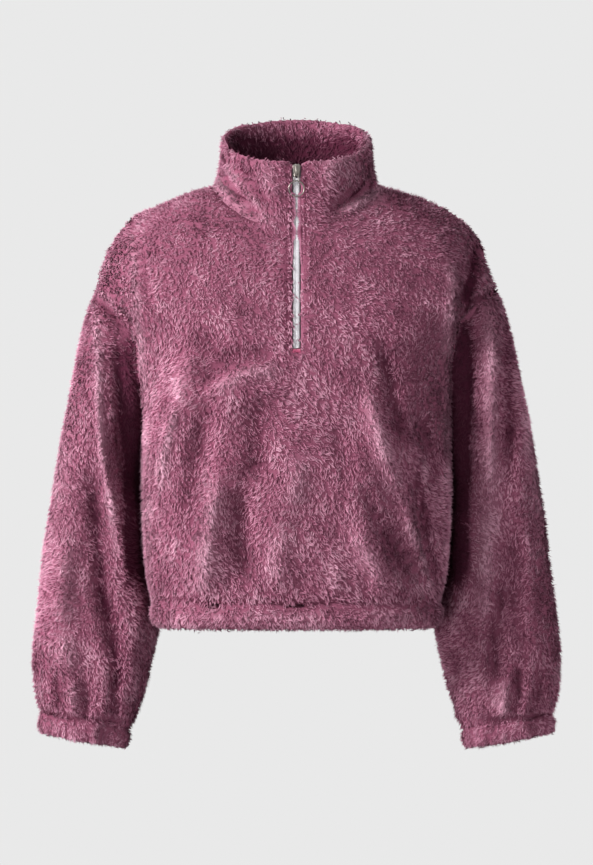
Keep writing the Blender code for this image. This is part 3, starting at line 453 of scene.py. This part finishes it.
def wander(at, wavelength, seed):
    """A smooth random value from about -1 to 1 that changes over the given wavelength."""
    dice = np.random.default_rng(seed)
    total = np.zeros(len(at))
    for _ in range(7):
        way = unit(dice.normal(size=3)) * math.tau / (wavelength * dice.uniform(0.7, 1.6))
        total += np.sin(at @ way + dice.uniform(0, math.tau))
    return total / 2.6


def wanders(at, layers):
    """Several wandering values together, each with its share, wavelength and seed."""
    return sum(share * wander(at, wavelength, seed) for share, wavelength, seed in layers)


def lock_shape():
    """One lock of pile, a pointed three-sided spike of height and half width 1."""
    shape = bmesh.new()
    bmesh.ops.create_cone(shape, segments=3, radius1=1, radius2=0, depth=1, cap_ends=True)
    bmesh.ops.translate(shape, verts=shape.verts, vec=(0, 0, 0.5))
    bmesh.ops.remove_doubles(shape, verts=shape.verts, dist=1e-5)
    corners = np.array([v.co for v in shape.verts])
    faces = np.array([[v.index for v in f.verts] for f in shape.faces])
    shape.free()
    return corners, faces


LOCK_CORNERS, LOCK_FACES = lock_shape()


def across(vectors, along):
    """The part of the vectors that is square to the unit vectors along."""
    return vectors - (vectors * along).sum(axis=1, keepdims=True) * along


def new_mesh(name, places, faces):
    mesh = bpy.data.meshes.new(name)
    sides = faces.shape[1]
    mesh.vertices.add(len(places))
    mesh.vertices.foreach_set("co", places.astype(np.float32).ravel())
    mesh.loops.add(faces.size)
    mesh.loops.foreach_set("vertex_index", faces.astype(np.int32).ravel())
    mesh.polygons.add(len(faces))
    mesh.polygons.foreach_set("loop_start", np.arange(len(faces), dtype=np.int32) * sides)
    mesh.update(calc_edges=True)
    mesh.shade_smooth()
    return mesh


def add_values(mesh, name, values):
    layer = mesh.attributes.new(name, "FLOAT", "POINT")
    layer.data.foreach_set("value", values.astype(np.float32))


def placed(mesh, body="garment"):
    item = bpy.data.objects.new(mesh.name, mesh)
    bpy.context.scene.collection.objects.link(item)
    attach(item, body)
    return item


def on_rim(out):
    """How far each place on the collar is on its rounded top edge."""
    return smooth_step((out[:, 2] - 0.1) / 0.5)


def tone(name, at, out):
    """How light the cloth is painted at each place, with 0.5 as its plain colour: painted shade and
    painted highlight from creases, the sleeves' inner sides, the lines beside the zip and the collar.
    """
    # Painted shade in the creases' troughs and painted highlight along their ridges.
    shade = 0.5 + CREASE_PAINTED_SHADING * creased(at, out)
    # Painted shade on the sleeves' inner sides, where they go behind the body.
    if name.startswith("sleeve"):
        inner = smooth_step((GAP_EDGE - np.abs(at[:, 0])) / 0.014)
        level = smooth_step((GAP_TOP - at[:, 2]) / 0.06) * smooth_step((at[:, 2] - GAP_FOOT) / 0.06)
        shade = shade - GAP_PAINTED_SHADE * inner * level
    if name in ("front", "collar"):
        shade = shade + zip_lines(at)[1]
    # Painted shadow inside the collar, and a painted highlight on its rim.
    if name == "collar":
        from_middle = at - COLLAR_MIDDLE
        inside = smooth_step(1 - from_middle[:, 2] / 0.03)
        inside = inside * smooth_step(-(out * unit(from_middle * (1, 1, 0))).sum(axis=1) / 0.5)
        shade = shade - COLLAR_PAINTED_SHADOW * inside + RIM_PAINTED_HIGHLIGHT * on_rim(out)
    return shade


def knit_shell(name):
    """The knit back of one piece: a thin shell on the form of its solid."""
    cells = knit_skin["quads"][knit_skin["piece"] == CLOTH_NODES.index(name)]
    used, cells = np.unique(cells, return_inverse=True)
    sunk = knit_skin["points"] - knit_skin["normals"] * KNIT_DEPTH
    mesh = new_mesh(name + "_knit", sunk[used], cells.reshape(-1, 4))
    add_values(mesh, "shade", tone(name, sunk[used], knit_skin["normals"][used]))
    mesh.materials.append(KNIT_CLOTH)
    item = placed(mesh)
    shell = item.modifiers.new("knit", "SOLIDIFY")
    shell.thickness = KNIT
    shell.offset = -1
    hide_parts(name)
    return item


def scattered(name, half):
    """Evenly spread places for the tufts of one piece, and the way out from the cloth there."""
    points = pile_skin["points"]
    cells = pile_skin["quads"][pile_skin["piece"] == CLOTH_NODES.index(name)]
    if half:
        cells = cells[(points[cells, 0].mean(axis=1) > 0) == (half == "right")]
    faces = np.concatenate([cells[:, [0, 1, 2]], cells[:, [0, 2, 3]]])
    a, b, c = (points[faces[:, k]] for k in range(3))
    square = np.cross(b - a, c - a)
    smoothed = pile_skin["normals"][faces].mean(axis=1)
    area = np.linalg.norm(square, axis=1) / 2 * ((unit(square) * smoothed).sum(axis=1) > EVEN_CLOTH)
    count = int(area.sum() / (TUFT * LOCK_SPACING**2))
    ends = np.cumsum(area)
    face = np.searchsorted(ends, (np.arange(count) + 0.5) / count * ends[-1])
    first, second = chance.random((2, count, 1))
    flip = first + second > 1
    first, second = np.where(flip, 1 - first, first), np.where(flip, 1 - second, second)
    mixed = []
    for values in (points, pile_skin["normals"]):
        corner = [values[faces[face, k]] for k in range(3)]
        mixed.append(corner[0] + (corner[1] - corner[0]) * first + (corner[2] - corner[0]) * second)
    return mixed[0], unit(mixed[1])


def nap(centre, out):
    """Which way each tuft leans, along the cloth."""
    turn = wanders(centre, NAP_SWIRLS) + chance.normal(0, 0.2, len(centre))
    down = across(np.tile((0.0, 0.0, -1.0), (len(centre), 1)), out)
    side = np.cross(out, down)
    return down * np.cos(turn)[:, None] + side * np.sin(turn)[:, None]


def zip_lines(at):
    """The rise of the lines that run beside the zip, and their tone: painted highlight on the band and
    ridges, painted shade in the grooves.
    """
    near = smooth_step((at[:, 2] - ZIP_FOOT) / 0.004) * (at[:, 1] < -0.04)
    lines = [np.exp(-(((at[:, 0] - x) / wide) ** 2)) * near for x, wide, _, _ in ZIP_LINES]
    rise = sum(line * facts[2] for line, facts in zip(lines, ZIP_LINES))
    return rise, sum(line * facts[3] for line, facts in zip(lines, ZIP_LINES))


def beside_zip(centre, lean):
    """The nap and the share of the pile's height beside the zip, on pieces that it is sewn to."""
    aside, side = np.abs(centre[:, 0]), np.sign(centre[:, 0])
    near = smooth_step((centre[:, 2] - ZIP_FOOT) / 0.004) * (centre[:, 1] < -0.04)
    near = near * smooth_step((NAP_SPREAD - aside) / (NAP_SPREAD - STITCH_BAND))
    lean = lean + (np.array(ZIP_NAP) - lean) * near[:, None]
    right = near * (side > 0)
    stitched = np.exp(-(((aside - 0.5 * (EDGE_BAND + STITCH_BAND)) / 0.0012) ** 2)) * right
    turned_in = smooth_step((EDGE_BAND - aside) / 0.001) * right
    return lean, (1 - STITCHED_SHORTER * stitched - TURNED_SHORTER * turned_in)[:, None]


def locks(name, root, axis, out, shade):
    """A mesh of locks of pile from their roots, with the way that each goes and its tone."""
    count = len(root)
    wide = unit(np.cross(axis, out)) * LOCK_WIDTH / 2 * chance.uniform(0.75, 1.25, (count, 1))
    thick = unit(np.cross(axis, wide)) * LOCK_WIDTH / 2 * 0.65
    x, y, z = (LOCK_CORNERS[:, k][None, :, None] for k in range(3))
    places = root[:, None] + x * wide[:, None] + y * thick[:, None] + z * axis[:, None]
    round_it = x * unit(wide)[:, None] + y * unit(thick)[:, None]
    upper = unit(across(out, unit(axis)))
    by_upper, by_cloth, by_round = LOCK_LIGHT
    soft = unit(by_upper * upper[:, None] + by_cloth * out[:, None] + by_round * round_it * (1 - z))
    faces = LOCK_FACES[None] + np.arange(count)[:, None, None] * len(LOCK_CORNERS)
    mesh = new_mesh(name, places.reshape(-1, 3), faces.reshape(-1, 3))
    mesh.normals_split_custom_set_from_vertices(soft.reshape(-1, 3).tolist())
    add_values(mesh, "along", np.tile(LOCK_CORNERS[:, 2], count))
    add_values(mesh, "shade", np.repeat(shade + chance.normal(0, LOCK_TONE, count), len(LOCK_CORNERS)))
    mesh.materials.append(FLEECE)
    return placed(mesh)


def pile(name, half=""):
    """The pile of one piece: locks that stand on its knit, lean with the nap and end in tufts."""
    centre, out = scattered(name, half)
    lean = nap(centre, out)
    length = np.ones((len(centre), 1))
    if name in ("front", "collar"):
        lean, length = beside_zip(centre, lean)
        centre = centre + out * zip_lines(centre)[0][:, None]
    tufts = len(centre)
    shade = wanders(centre, PALE_PATCHES) + chance.normal(0, TUFT_TONE, tufts)
    facing = out
    if name == "collar":
        rim = on_rim(out)[:, None]
        lean, length = lean * (1 - RIM_UPRIGHT * rim), length * (1 - RIM_SHORTER * rim)
        facing = unit(out + ((0.0, 0.0, 1.0) - out) * RIM_SKYWARD * rim)
    if name.startswith("cuff"):
        centre = centre - out * CUFF_PRESS
    # The undersides of hem and cuffs have shorter pile and are painted paler, as painted light against
    # their shade.
    if name.startswith(("hem", "cuff")):
        under = smooth_step((-out[:, 2] - 0.35) / 0.4)
        shade, length = shade + UNDER_PAINTED_LIGHT * under, length * (1 - UNDER_SHORTER * under[:, None])
    tuft = np.repeat(np.arange(tufts), TUFT)
    count = len(tuft)
    each_tuft = (centre, out, lean, shade, length, facing)
    centre, out, lean, shade, length, facing = (values[tuft] for values in each_tuft)
    aside = across(chance.normal(0, LOCK_SPACING * 0.9, (count, 3)), out)
    root = centre - out * (KNIT_DEPTH + 0.0002) + aside
    stray = 1 + STRAY_TALLER * (chance.random((count, 1)) < STRAY_SHARE)
    tall = LOCK_HEIGHT * chance.uniform(0.72, 1.12, (count, 1)) * stray * length
    far = LOCK_REACH * chance.uniform(0.75, 1.2, (count, 1)) * length
    tip = root + out * tall + lean * far - aside * GATHER
    tip = tip + chance.normal(0, 0.0008, (count, 3))
    shade = shade + tone(name, (root + tip) / 2, out)
    item = locks("_".join(filter(None, (name, "pile", half))), root, tip - root, facing, shade)
    return item


def effect(name, inputs, outputs):
    """A node group that several materials share, with its way in and its way out."""
    group = bpy.data.node_groups.new(name, "ShaderNodeTree")
    for word, kind in inputs.items():
        group.interface.new_socket(name=word, in_out="INPUT", socket_type=kind)
    for word, kind in outputs.items():
        group.interface.new_socket(name=word, in_out="OUTPUT", socket_type=kind)
    return group, group.nodes.new("NodeGroupInput").outputs, group.nodes.new("NodeGroupOutput").inputs


def placed_effect(tree, group, values):
    """An effect in one material, with that material's own values."""
    node = tree.nodes.new("ShaderNodeGroup")
    node.node_tree = group
    for word, value in values.items():
        node.inputs[word].default_value = value
    return node


def bumped(tree, height, strength, depth):
    bump = tree.nodes.new("ShaderNodeBump")
    bump.inputs["Strength"].default_value = strength
    bump.inputs["Distance"].default_value = depth
    tree.links.new(height, bump.inputs["Height"])
    tree.links.new(bump.outputs["Normal"], tree.nodes["Principled BSDF"].inputs["Normal"])


def grain_effect():
    """Fine uneven grain on the piece's own coordinates."""
    group, given, made = effect("grain", {"Scale": "NodeSocketFloat"}, {"Height": "NodeSocketFloat"})
    place = group.nodes.new("ShaderNodeTexCoord")
    cloud = group.nodes.new("ShaderNodeTexNoise")
    cloud.inputs["Detail"].default_value = 2.0
    group.links.new(place.outputs["Object"], cloud.inputs["Vector"])
    group.links.new(given["Scale"], cloud.inputs["Scale"])
    group.links.new(cloud.outputs["Fac"], made["Height"])
    return group


# The dark tone stands for painted shade and the pale tone for painted highlight, and both also carry
# random differences in tone.
TONE_COLOURS = {"Dark": (0.045, 0.009, 0.020, 1), "Pale": (0.62, 0.350, 0.450, 1)}
TONE_VALUES = ("Start", "End", "Share")


def tone_effect():
    """Mixes a colour towards each tone as the piece's shade goes from its start to its end."""
    sockets = {"Colour": "NodeSocketColor"}
    for tone_name in TONE_COLOURS:
        sockets.update({tone_name + " " + word: "NodeSocketFloat" for word in TONE_VALUES})
    group, given, made = effect("pile tones", sockets, {"Colour": "NodeSocketColor"})
    shade = group.nodes.new("ShaderNodeAttribute")
    shade.attribute_name = "shade"
    colour = given["Colour"]
    for tone_name, tone_colour in TONE_COLOURS.items():
        amount = group.nodes.new("ShaderNodeMapRange")
        for word, socket in zip(TONE_VALUES, ("From Min", "From Max", "To Max")):
            group.links.new(given[tone_name + " " + word], amount.inputs[socket])
        group.links.new(shade.outputs["Fac"], amount.inputs["Value"])
        mixed = group.nodes.new("ShaderNodeMix")
        mixed.data_type = "RGBA"
        mixed.inputs[7].default_value = tone_colour
        group.links.new(amount.outputs["Result"], mixed.inputs[0])
        group.links.new(colour, mixed.inputs[6])
        colour = mixed.outputs[2]
    group.links.new(colour, made["Colour"])
    return group


GRAIN, TONES = grain_effect(), tone_effect()


def toned(tree, colour, tones):
    """Makes the shader's colour dark and pale by the piece's shade."""
    values = {}
    for tone_name, three in tones.items():
        values.update({tone_name + " " + word: value for word, value in zip(TONE_VALUES, three)})
    node = placed_effect(tree, TONES, values)
    tree.links.new(colour, node.inputs["Colour"])
    tree.links.new(node.outputs["Colour"], tree.nodes["Principled BSDF"].inputs["Base Color"])


# Each tone's start, end and share; the shade that they follow holds painted shade and painted highlight as
# well as random tone
FIBRE_TONES = {"Dark": (0.46, -0.15, 0.92), "Pale": (0.52, 1.15, 0.68)}
KNIT_TONES = {"Dark": (0.46, 0.0, 0.95), "Pale": (0.50, 1.15, 0.4)}


def fleece_material():
    """Fibres that are light at the tip and dark at the root, the dark partly painted shade down among the
    fibres, lighter or darker from tuft to tuft.
    """
    made = plain_material("fleece", (0.3, 0.1, 0.17, 1), 0.8)
    tree = made.node_tree
    shader = tree.nodes["Principled BSDF"]
    along = tree.nodes.new("ShaderNodeAttribute")
    along.attribute_name = "along"
    fade = tree.nodes.new("ShaderNodeValToRGB")
    fade.color_ramp.elements[0].color = (0.070, 0.017, 0.032, 1)
    fade.color_ramp.elements[1].color = (0.455, 0.228, 0.312, 1)
    middle = fade.color_ramp.elements.new(0.45)
    middle.color = (0.275, 0.094, 0.152, 1)
    tree.links.new(along.outputs["Fac"], fade.inputs["Fac"])
    toned(tree, fade.outputs["Color"], FIBRE_TONES)
    shader.inputs["Specular IOR Level"].default_value = 0.0
    shader.inputs["Sheen Weight"].default_value = 0.03
    shader.inputs["Sheen Roughness"].default_value = 0.35
    shader.inputs["Sheen Tint"].default_value = (1.0, 0.60, 0.75, 1)
    return made


def knit_material():
    """Fine knit, matted with the roots of the pile, darkened and lightened by the same painted shade and
    painted highlight as the pile.
    """
    made = plain_material("knit", (0.2, 0.06, 0.1, 1), 0.95)
    tree = made.node_tree
    tree.nodes["Principled BSDF"].inputs["Specular IOR Level"].default_value = 0.0
    grain = placed_effect(tree, GRAIN, {"Scale": 700.0}).outputs["Height"]
    fade = tree.nodes.new("ShaderNodeValToRGB")
    fade.color_ramp.elements[0].color = (0.100, 0.027, 0.048, 1)
    fade.color_ramp.elements[1].color = (0.240, 0.080, 0.130, 1)
    tree.links.new(grain, fade.inputs["Fac"])
    toned(tree, fade.outputs["Color"], KNIT_TONES)
    bumped(tree, grain, 0.8, 0.0008)
    return made


FLEECE = fleece_material()
KNIT_CLOTH = knit_material()

for name, (wide, long, filled) in BODY_CUT.items():
    knit = knit_shell(name)
    halves = [pile(name, "left"), pile(name, "right")]

# Sleeves.
# Each is one panel sewn into a tube, set in a dropped armhole and gathered into its cuff. They hang
# beside the body, a little behind its side edges.
SLEEVE_CUT = (0.36, 0.50, 0.88)
# They are painted darker where they go behind the body, as painted shade: from the middle out to here,
# between these heights
GAP_EDGE = 0.199
GAP_TOP, GAP_FOOT = -0.150, -0.47
GAP_PAINTED_SHADE = 1.1

for name in ("sleeve_left", "sleeve_right"):
    wide, long, filled = SLEEVE_CUT
    knit = knit_shell(name)
    pile(name)

# Collar.
# A strip of the same fleece folded double along its top edge, so its pile shows inside too. It is
# sewn to the neck edge and stands up by itself, a little slouched.
# Its lining is painted darker below about the collar's middle, as painted shadow
COLLAR_MIDDLE = np.array((0.0, -0.01, 0.045))
COLLAR_PAINTED_SHADOW = 0.75
# On its rounded rim the pile stands up and is a little shorter, is painted paler as a painted highlight,
# and catches light from above
RIM_UPRIGHT, RIM_SHORTER, RIM_PAINTED_HIGHLIGHT, RIM_SKYWARD = 0.6, 0.15, 0.25, 0.85

knit = knit_shell("collar")
pile("collar")

# Hem and cuff casings.
# Turned-up ends of fleece with elastic inside, which draw the body and the sleeves in. Their pile
# shows outside, below and inside.
CASING_CUTS = {"hem_band": (0.86, 0.062), "cuff_left": (0.26, 0.052), "cuff_right": (0.26, 0.052)}
CUFF_PRESS = 0.0006  # the pile is pressed flatter round the cuffs, where the elastic holds them
UNDER_SHORTER, UNDER_PAINTED_LIGHT = 0.35, 0.12  # and it is shorter on the undersides of hem and cuffs, which are painted paler there against their shade

for name, cut in CASING_CUTS.items():
    knit = knit_shell(name)
    pile(name)

# Zip tapes.
# Two strips of fine woven polyester behind the fleece's turned edges, which are sewn to them. They
# show only as a thin grey line each side of the teeth.
TAPE_GREY = (0.20, 0.17, 0.19, 1.0)
THREADS_A_METRE = 2600.0


def weave_effect():
    """Threads that cross along X and Z."""
    group, given, made = effect("weave", {"Scale": "NodeSocketFloat"}, {"Height": "NodeSocketFloat"})
    place = group.nodes.new("ShaderNodeTexCoord")
    over = group.nodes.new("ShaderNodeMath")
    over.operation = "MULTIPLY"
    for k, way in enumerate(("X", "Z")):
        wave = group.nodes.new("ShaderNodeTexWave")
        wave.bands_direction = way
        group.links.new(place.outputs["Object"], wave.inputs["Vector"])
        group.links.new(given["Scale"], wave.inputs["Scale"])
        group.links.new(wave.outputs["Fac"], over.inputs[k])
    group.links.new(over.outputs["Value"], made["Height"])
    return group


WEAVE = weave_effect()


def woven_material(name, colour, rough):
    """Fine plain-woven cloth."""
    made = plain_material(name, colour, rough)
    woven = placed_effect(made.node_tree, WEAVE, {"Scale": THREADS_A_METRE / math.tau})
    bumped(made.node_tree, woven.outputs["Height"], 0.6, 0.0003)
    return made


TAPE_CLOTH = woven_material("tape", TAPE_GREY, 0.8)
for name in ("zip_tape_left", "zip_tape_right"):
    frame["nodes"][name].material_slots[0].material = TAPE_CLOTH

# Zip teeth.
# Two rows of small silver loops, formed from one plastic coil each, that lock into each other down
# the middle. A line of thread through each row holds it to its tape.
TOOTH = (0.0036, 0.0018, 0.00070)  # across the zip, through it and along it
TOOTH_PITCH = 0.00118
TOOTH_SIDE = 0.00165  # how far a row's middle is from the zip's
TOOTH_BEVEL = 0.00022
TOOTH_SLANT = 0.14
THREAD = (0.00030, 0.0005, 0.0019)
THREAD_PITCH = 0.00236
THREAD_SIDE = 0.0026
CHAIN_INSET = 0.0006  # from the chain's ends to the first and last tooth
CORE_HALF = 0.0034
CORE_DEPTHS = (0.0009, 0.0022)
SILVER = (0.66, 0.65, 0.68, 1.0)
THREAD_GREY = (0.30, 0.28, 0.30, 1.0)
CORE_GREY = (0.10, 0.075, 0.088, 1.0)
WEAR_SCALE = 1500.0  # of the faint wear on metal


def metal_material(name, colour, rough, metallic):
    """Metal or silvered plastic with faint uneven wear."""
    made = plain_material(name, colour, rough)
    made.node_tree.nodes["Principled BSDF"].inputs["Metallic"].default_value = metallic
    worn = placed_effect(made.node_tree, GRAIN, {"Scale": WEAR_SCALE})
    bumped(made.node_tree, worn.outputs["Height"], 0.25, 0.0001)
    return made


def small_block(size, bevel):
    """A little block with rounded edges: its corners and faces."""
    shape = bmesh.new()
    bmesh.ops.create_cube(shape, size=1)
    bmesh.ops.scale(shape, vec=size, verts=shape.verts)
    bmesh.ops.bevel(
        shape, geom=shape.edges[:], offset=bevel, segments=1, profile=0.5, affect="EDGES", material=-1
    )
    bmesh.ops.triangulate(shape, faces=shape.faces)
    corners = np.array([v.co for v in shape.verts])
    faces = np.array([[v.index for v in f.verts] for f in shape.faces])
    shape.free()
    return corners, faces


def many(name, block, places, across_way, out_way, along_way):
    """One mesh of copies of a block, each turned to its own three directions."""
    corners, faces = block
    turned = places[:, None] + sum(
        corners[None, :, k, None] * way[:, None] for k, way in enumerate((across_way, out_way, along_way))
    )
    faces = faces[None] + np.arange(len(places))[:, None, None] * len(corners)
    return new_mesh(name, turned.reshape(-1, 3), faces.reshape(-1, 3))


chain_shape = bmesh.new()
chain_shape.from_mesh(frame["nodes"]["zip_chain"].data)
chain_tree = BVHTree.FromBMesh(chain_shape)
chain_heights = [v.co.z for v in chain_shape.verts]
chain_ends = (min(chain_heights) + CHAIN_INSET, max(chain_heights) - CHAIN_INSET)
line_z = np.linspace(*chain_ends, 240)
line_y = np.array([chain_tree.ray_cast(Vector((0.001, -1, z)), Vector((0, 1, 0)))[0].y for z in line_z])
chain_shape.free()
line_run = np.concatenate([[0], np.cumsum(np.hypot(np.diff(line_y), np.diff(line_z)))])


def on_zip(pitch, shift):
    """Places on the front of the chain at this pitch, with the way out and the way up there."""
    run = np.arange(0.5 * pitch + shift, line_run[-1] - 0.4 * pitch, pitch)
    y, z = np.interp(run, line_run, line_y), np.interp(run, line_run, line_z)
    rise_y = np.interp(run + 0.002, line_run, line_y) - np.interp(run - 0.002, line_run, line_y)
    rise_z = np.interp(run + 0.002, line_run, line_z) - np.interp(run - 0.002, line_run, line_z)
    up = unit(np.stack([0 * run, rise_y, rise_z], axis=1))
    out = np.stack([0 * run, -up[:, 2], up[:, 1]], axis=1)
    return np.stack([0 * run, y, z], axis=1), out, up


SILVER_COIL = metal_material("silver_coil", SILVER, 0.34, 0.2)
THREAD_SHINE = plain_material("zip_thread", THREAD_GREY, 0.6)
CORE_CLOTH = woven_material("zip_core", CORE_GREY, 0.85)

for side, sign in (("left", -1), ("right", 1)):
    at, out, up = on_zip(TOOTH_PITCH, 0.25 * TOOTH_PITCH * (1 + sign))
    aside = np.tile((1.0, 0.0, 0.0), (len(at), 1))
    slanted = unit(aside + up * TOOTH_SLANT * sign)
    at = at - out * TOOTH[1] / 2 + aside * TOOTH_SIDE * sign
    teeth = many("zip_teeth_" + side, small_block(TOOTH, TOOTH_BEVEL), at, slanted, -out, up)
    teeth.materials.append(SILVER_COIL)
    teeth_item = placed(teeth)
    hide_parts("zip_chain")
    at, out, up = on_zip(THREAD_PITCH, 0)
    aside = np.tile((1.0, 0.0, 0.0), (len(at), 1))
    leaning = unit(up + aside * 0.12 * sign)
    at = at + aside * THREAD_SIDE * sign - out * 0.0001
    stitches = many("zip_stitches_" + side, small_block(THREAD, 0.0001), at, aside, -out, leaning)
    stitches.materials.append(THREAD_SHINE)
    placed(stitches)

at, out, up = on_zip(0.004, 0)
edges = [(-CORE_HALF, 0), (CORE_HALF, 0), (CORE_HALF, 1), (-CORE_HALF, 1)]
rows = [at - out * CORE_DEPTHS[k] + np.array((x, 0, 0)) for x, k in edges]
core_places = np.stack(rows, axis=1).reshape(-1, 3)
core = bmesh.new()
core_points = [core.verts.new(p) for p in core_places]
core_rows = [core_points[k : k + 4] for k in range(0, len(core_points), 4)]
for lower, upper in zip(core_rows, core_rows[1:]):
    for k in range(4):
        core.faces.new((lower[k], lower[(k + 1) % 4], upper[(k + 1) % 4], upper[k]))
core.faces.new(core_rows[0][::-1])
core.faces.new(core_rows[-1])
bmesh.ops.recalc_face_normals(core, faces=core.faces)
core_mesh = bpy.data.meshes.new("zip_core")
core.to_mesh(core_mesh)
core.free()
core_mesh.materials.append(CORE_CLOTH)
placed(core_mesh)

# Pile over the zip's edges.
# Where the collar meets the neck, longer pile from the turned edges falls over the sides of the
# teeth and leaves only a narrow line of them in sight.
OVER_COUNT = 1100
OVER_ROOT = 0.0060  # from the centre line
# The height, how near the centre line the tips come there, and their tone, darker as painted shade where
# the tips come over the teeth
OVER_ZIP = (
    (-0.0900, 0.0044, 0.50),
    (-0.0700, 0.0026, 0.50),
    (-0.0641, 0.0024, 0.50),
    (-0.0590, 0.0002, 0.35),
    (-0.0538, -0.0008, 0.15),
    (-0.0490, 0.0002, 0.35),
    (-0.0424, 0.0028, 0.50),
    (-0.0365, 0.0002, 0.35),
    (-0.0320, -0.0008, 0.20),
    (-0.0276, 0.0002, 0.40),
    (-0.0110, 0.0007, 0.50),
)

over_knots = np.array(OVER_ZIP)
over_z = chance.uniform(OVER_ZIP[0][0], OVER_ZIP[-1][0], OVER_COUNT)
over_side = np.where(chance.random(OVER_COUNT) < 0.5, -1.0, 1.0)
over_y = np.interp(over_z, line_z, line_y)
over_reach = np.interp(over_z, over_knots[:, 0], over_knots[:, 1])
over_reach = over_reach + np.abs(chance.normal(0, 0.0006, OVER_COUNT))
over_tone = np.interp(over_z, over_knots[:, 0], over_knots[:, 2])
over_root = np.stack([over_side * OVER_ROOT, over_y + 0.0004, over_z + 0.0012], axis=1)
over_front = over_y - chance.uniform(0.0006, 0.0014, OVER_COUNT)
over_tip = np.stack([over_side * over_reach, over_front, over_z - 0.0014], axis=1)
over_out = np.tile((0.0, -1.0, 0.0), (OVER_COUNT, 1))
over_pile = locks("zip_edge_pile", over_root, over_tip - over_root, over_out, over_tone)

# Bartack at the zip's foot.
# A short block of close satin stitches in rose thread, across both tapes, that stops the slider
# and takes the strain where the zip ends.
TACK_THREAD = (0.00062, 0.0009, 0.0044)
TACK_PITCH = 0.00054
TACK_HALF = 0.0043
TACK_ROSE = (0.36, 0.055, 0.13, 1.0)

stop_points = np.array([v.co for v in frame["nodes"]["zip_stop"].data.vertices])
stop_middle = (stop_points.min(axis=0) + stop_points.max(axis=0)) / 2
stop_front = stop_points[:, 1].min()
tack_x = np.arange(-TACK_HALF + TACK_PITCH / 2, TACK_HALF, TACK_PITCH)
count = len(tack_x)
tack_y, tack_z = np.full(count, stop_front + 0.0006), np.full(count, stop_middle[2])
tack_places = np.stack([tack_x, tack_y, tack_z], axis=1)
tack_places = tack_places + chance.normal(0, 0.00012, (count, 3))
lean_x = np.where(np.arange(count) % 2, 0.10, -0.06)
along_way = unit(np.stack([lean_x, np.full(count, -0.08), np.ones(count)], axis=1))
side_way = np.tile((1.0, 0.0, 0.0), (count, 1))
out_way = np.tile((0.0, 1.0, 0.0), (count, 1))
tack = many("zip_bartack", small_block(TACK_THREAD, 0.00022), tack_places, side_way, out_way, along_way)
tack.materials.append(plain_material("rose_thread", TACK_ROSE, 0.45))
tack_item = placed(tack)
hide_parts("zip_stop")

# Slider and pull.
# The slider is cast zinc with a bridge on its face. A bent wire link through the bridge carries a
# plain wire ring, all plated in old silver.
OLD_SILVER = (0.20, 0.180, 0.165, 1.0)
SLIDER_BEVEL = 0.00035


def merged_copy(name, copy_name, angle=0.0):
    """A CAD part's shape as one closed mesh, its flat faces made whole up to this angle."""
    shape = bmesh.new()
    shape.from_mesh(frame["nodes"][name].data)
    bmesh.ops.remove_doubles(shape, verts=shape.verts, dist=1e-6)
    if angle:
        bmesh.ops.dissolve_limit(shape, angle_limit=angle, verts=shape.verts, edges=shape.edges)
    mesh = bpy.data.meshes.new(copy_name)
    shape.to_mesh(mesh)
    shape.free()
    mesh.shade_smooth()
    return mesh


PLATED = metal_material("old_silver", OLD_SILVER, 0.30, 0.9)

slider = merged_copy("zip_slider", "zip_slider_cast", math.radians(1))
slider.materials.append(PLATED)
slider_item = placed(slider)
rounding = slider_item.modifiers.new("rounded edges", "BEVEL")
rounding.width = SLIDER_BEVEL
rounding.segments = 2
rounding.limit_method = "ANGLE"
rounding.angle_limit = math.radians(35)
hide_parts("zip_slider")

ring = merged_copy("zip_pull", "zip_pull_ring")
ring.materials.append(PLATED)
ring_item = placed(ring, "pull")
smoother = ring_item.modifiers.new("round wire", "SUBSURF")
smoother.levels = smoother.render_levels = 1
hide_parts("zip_pull")
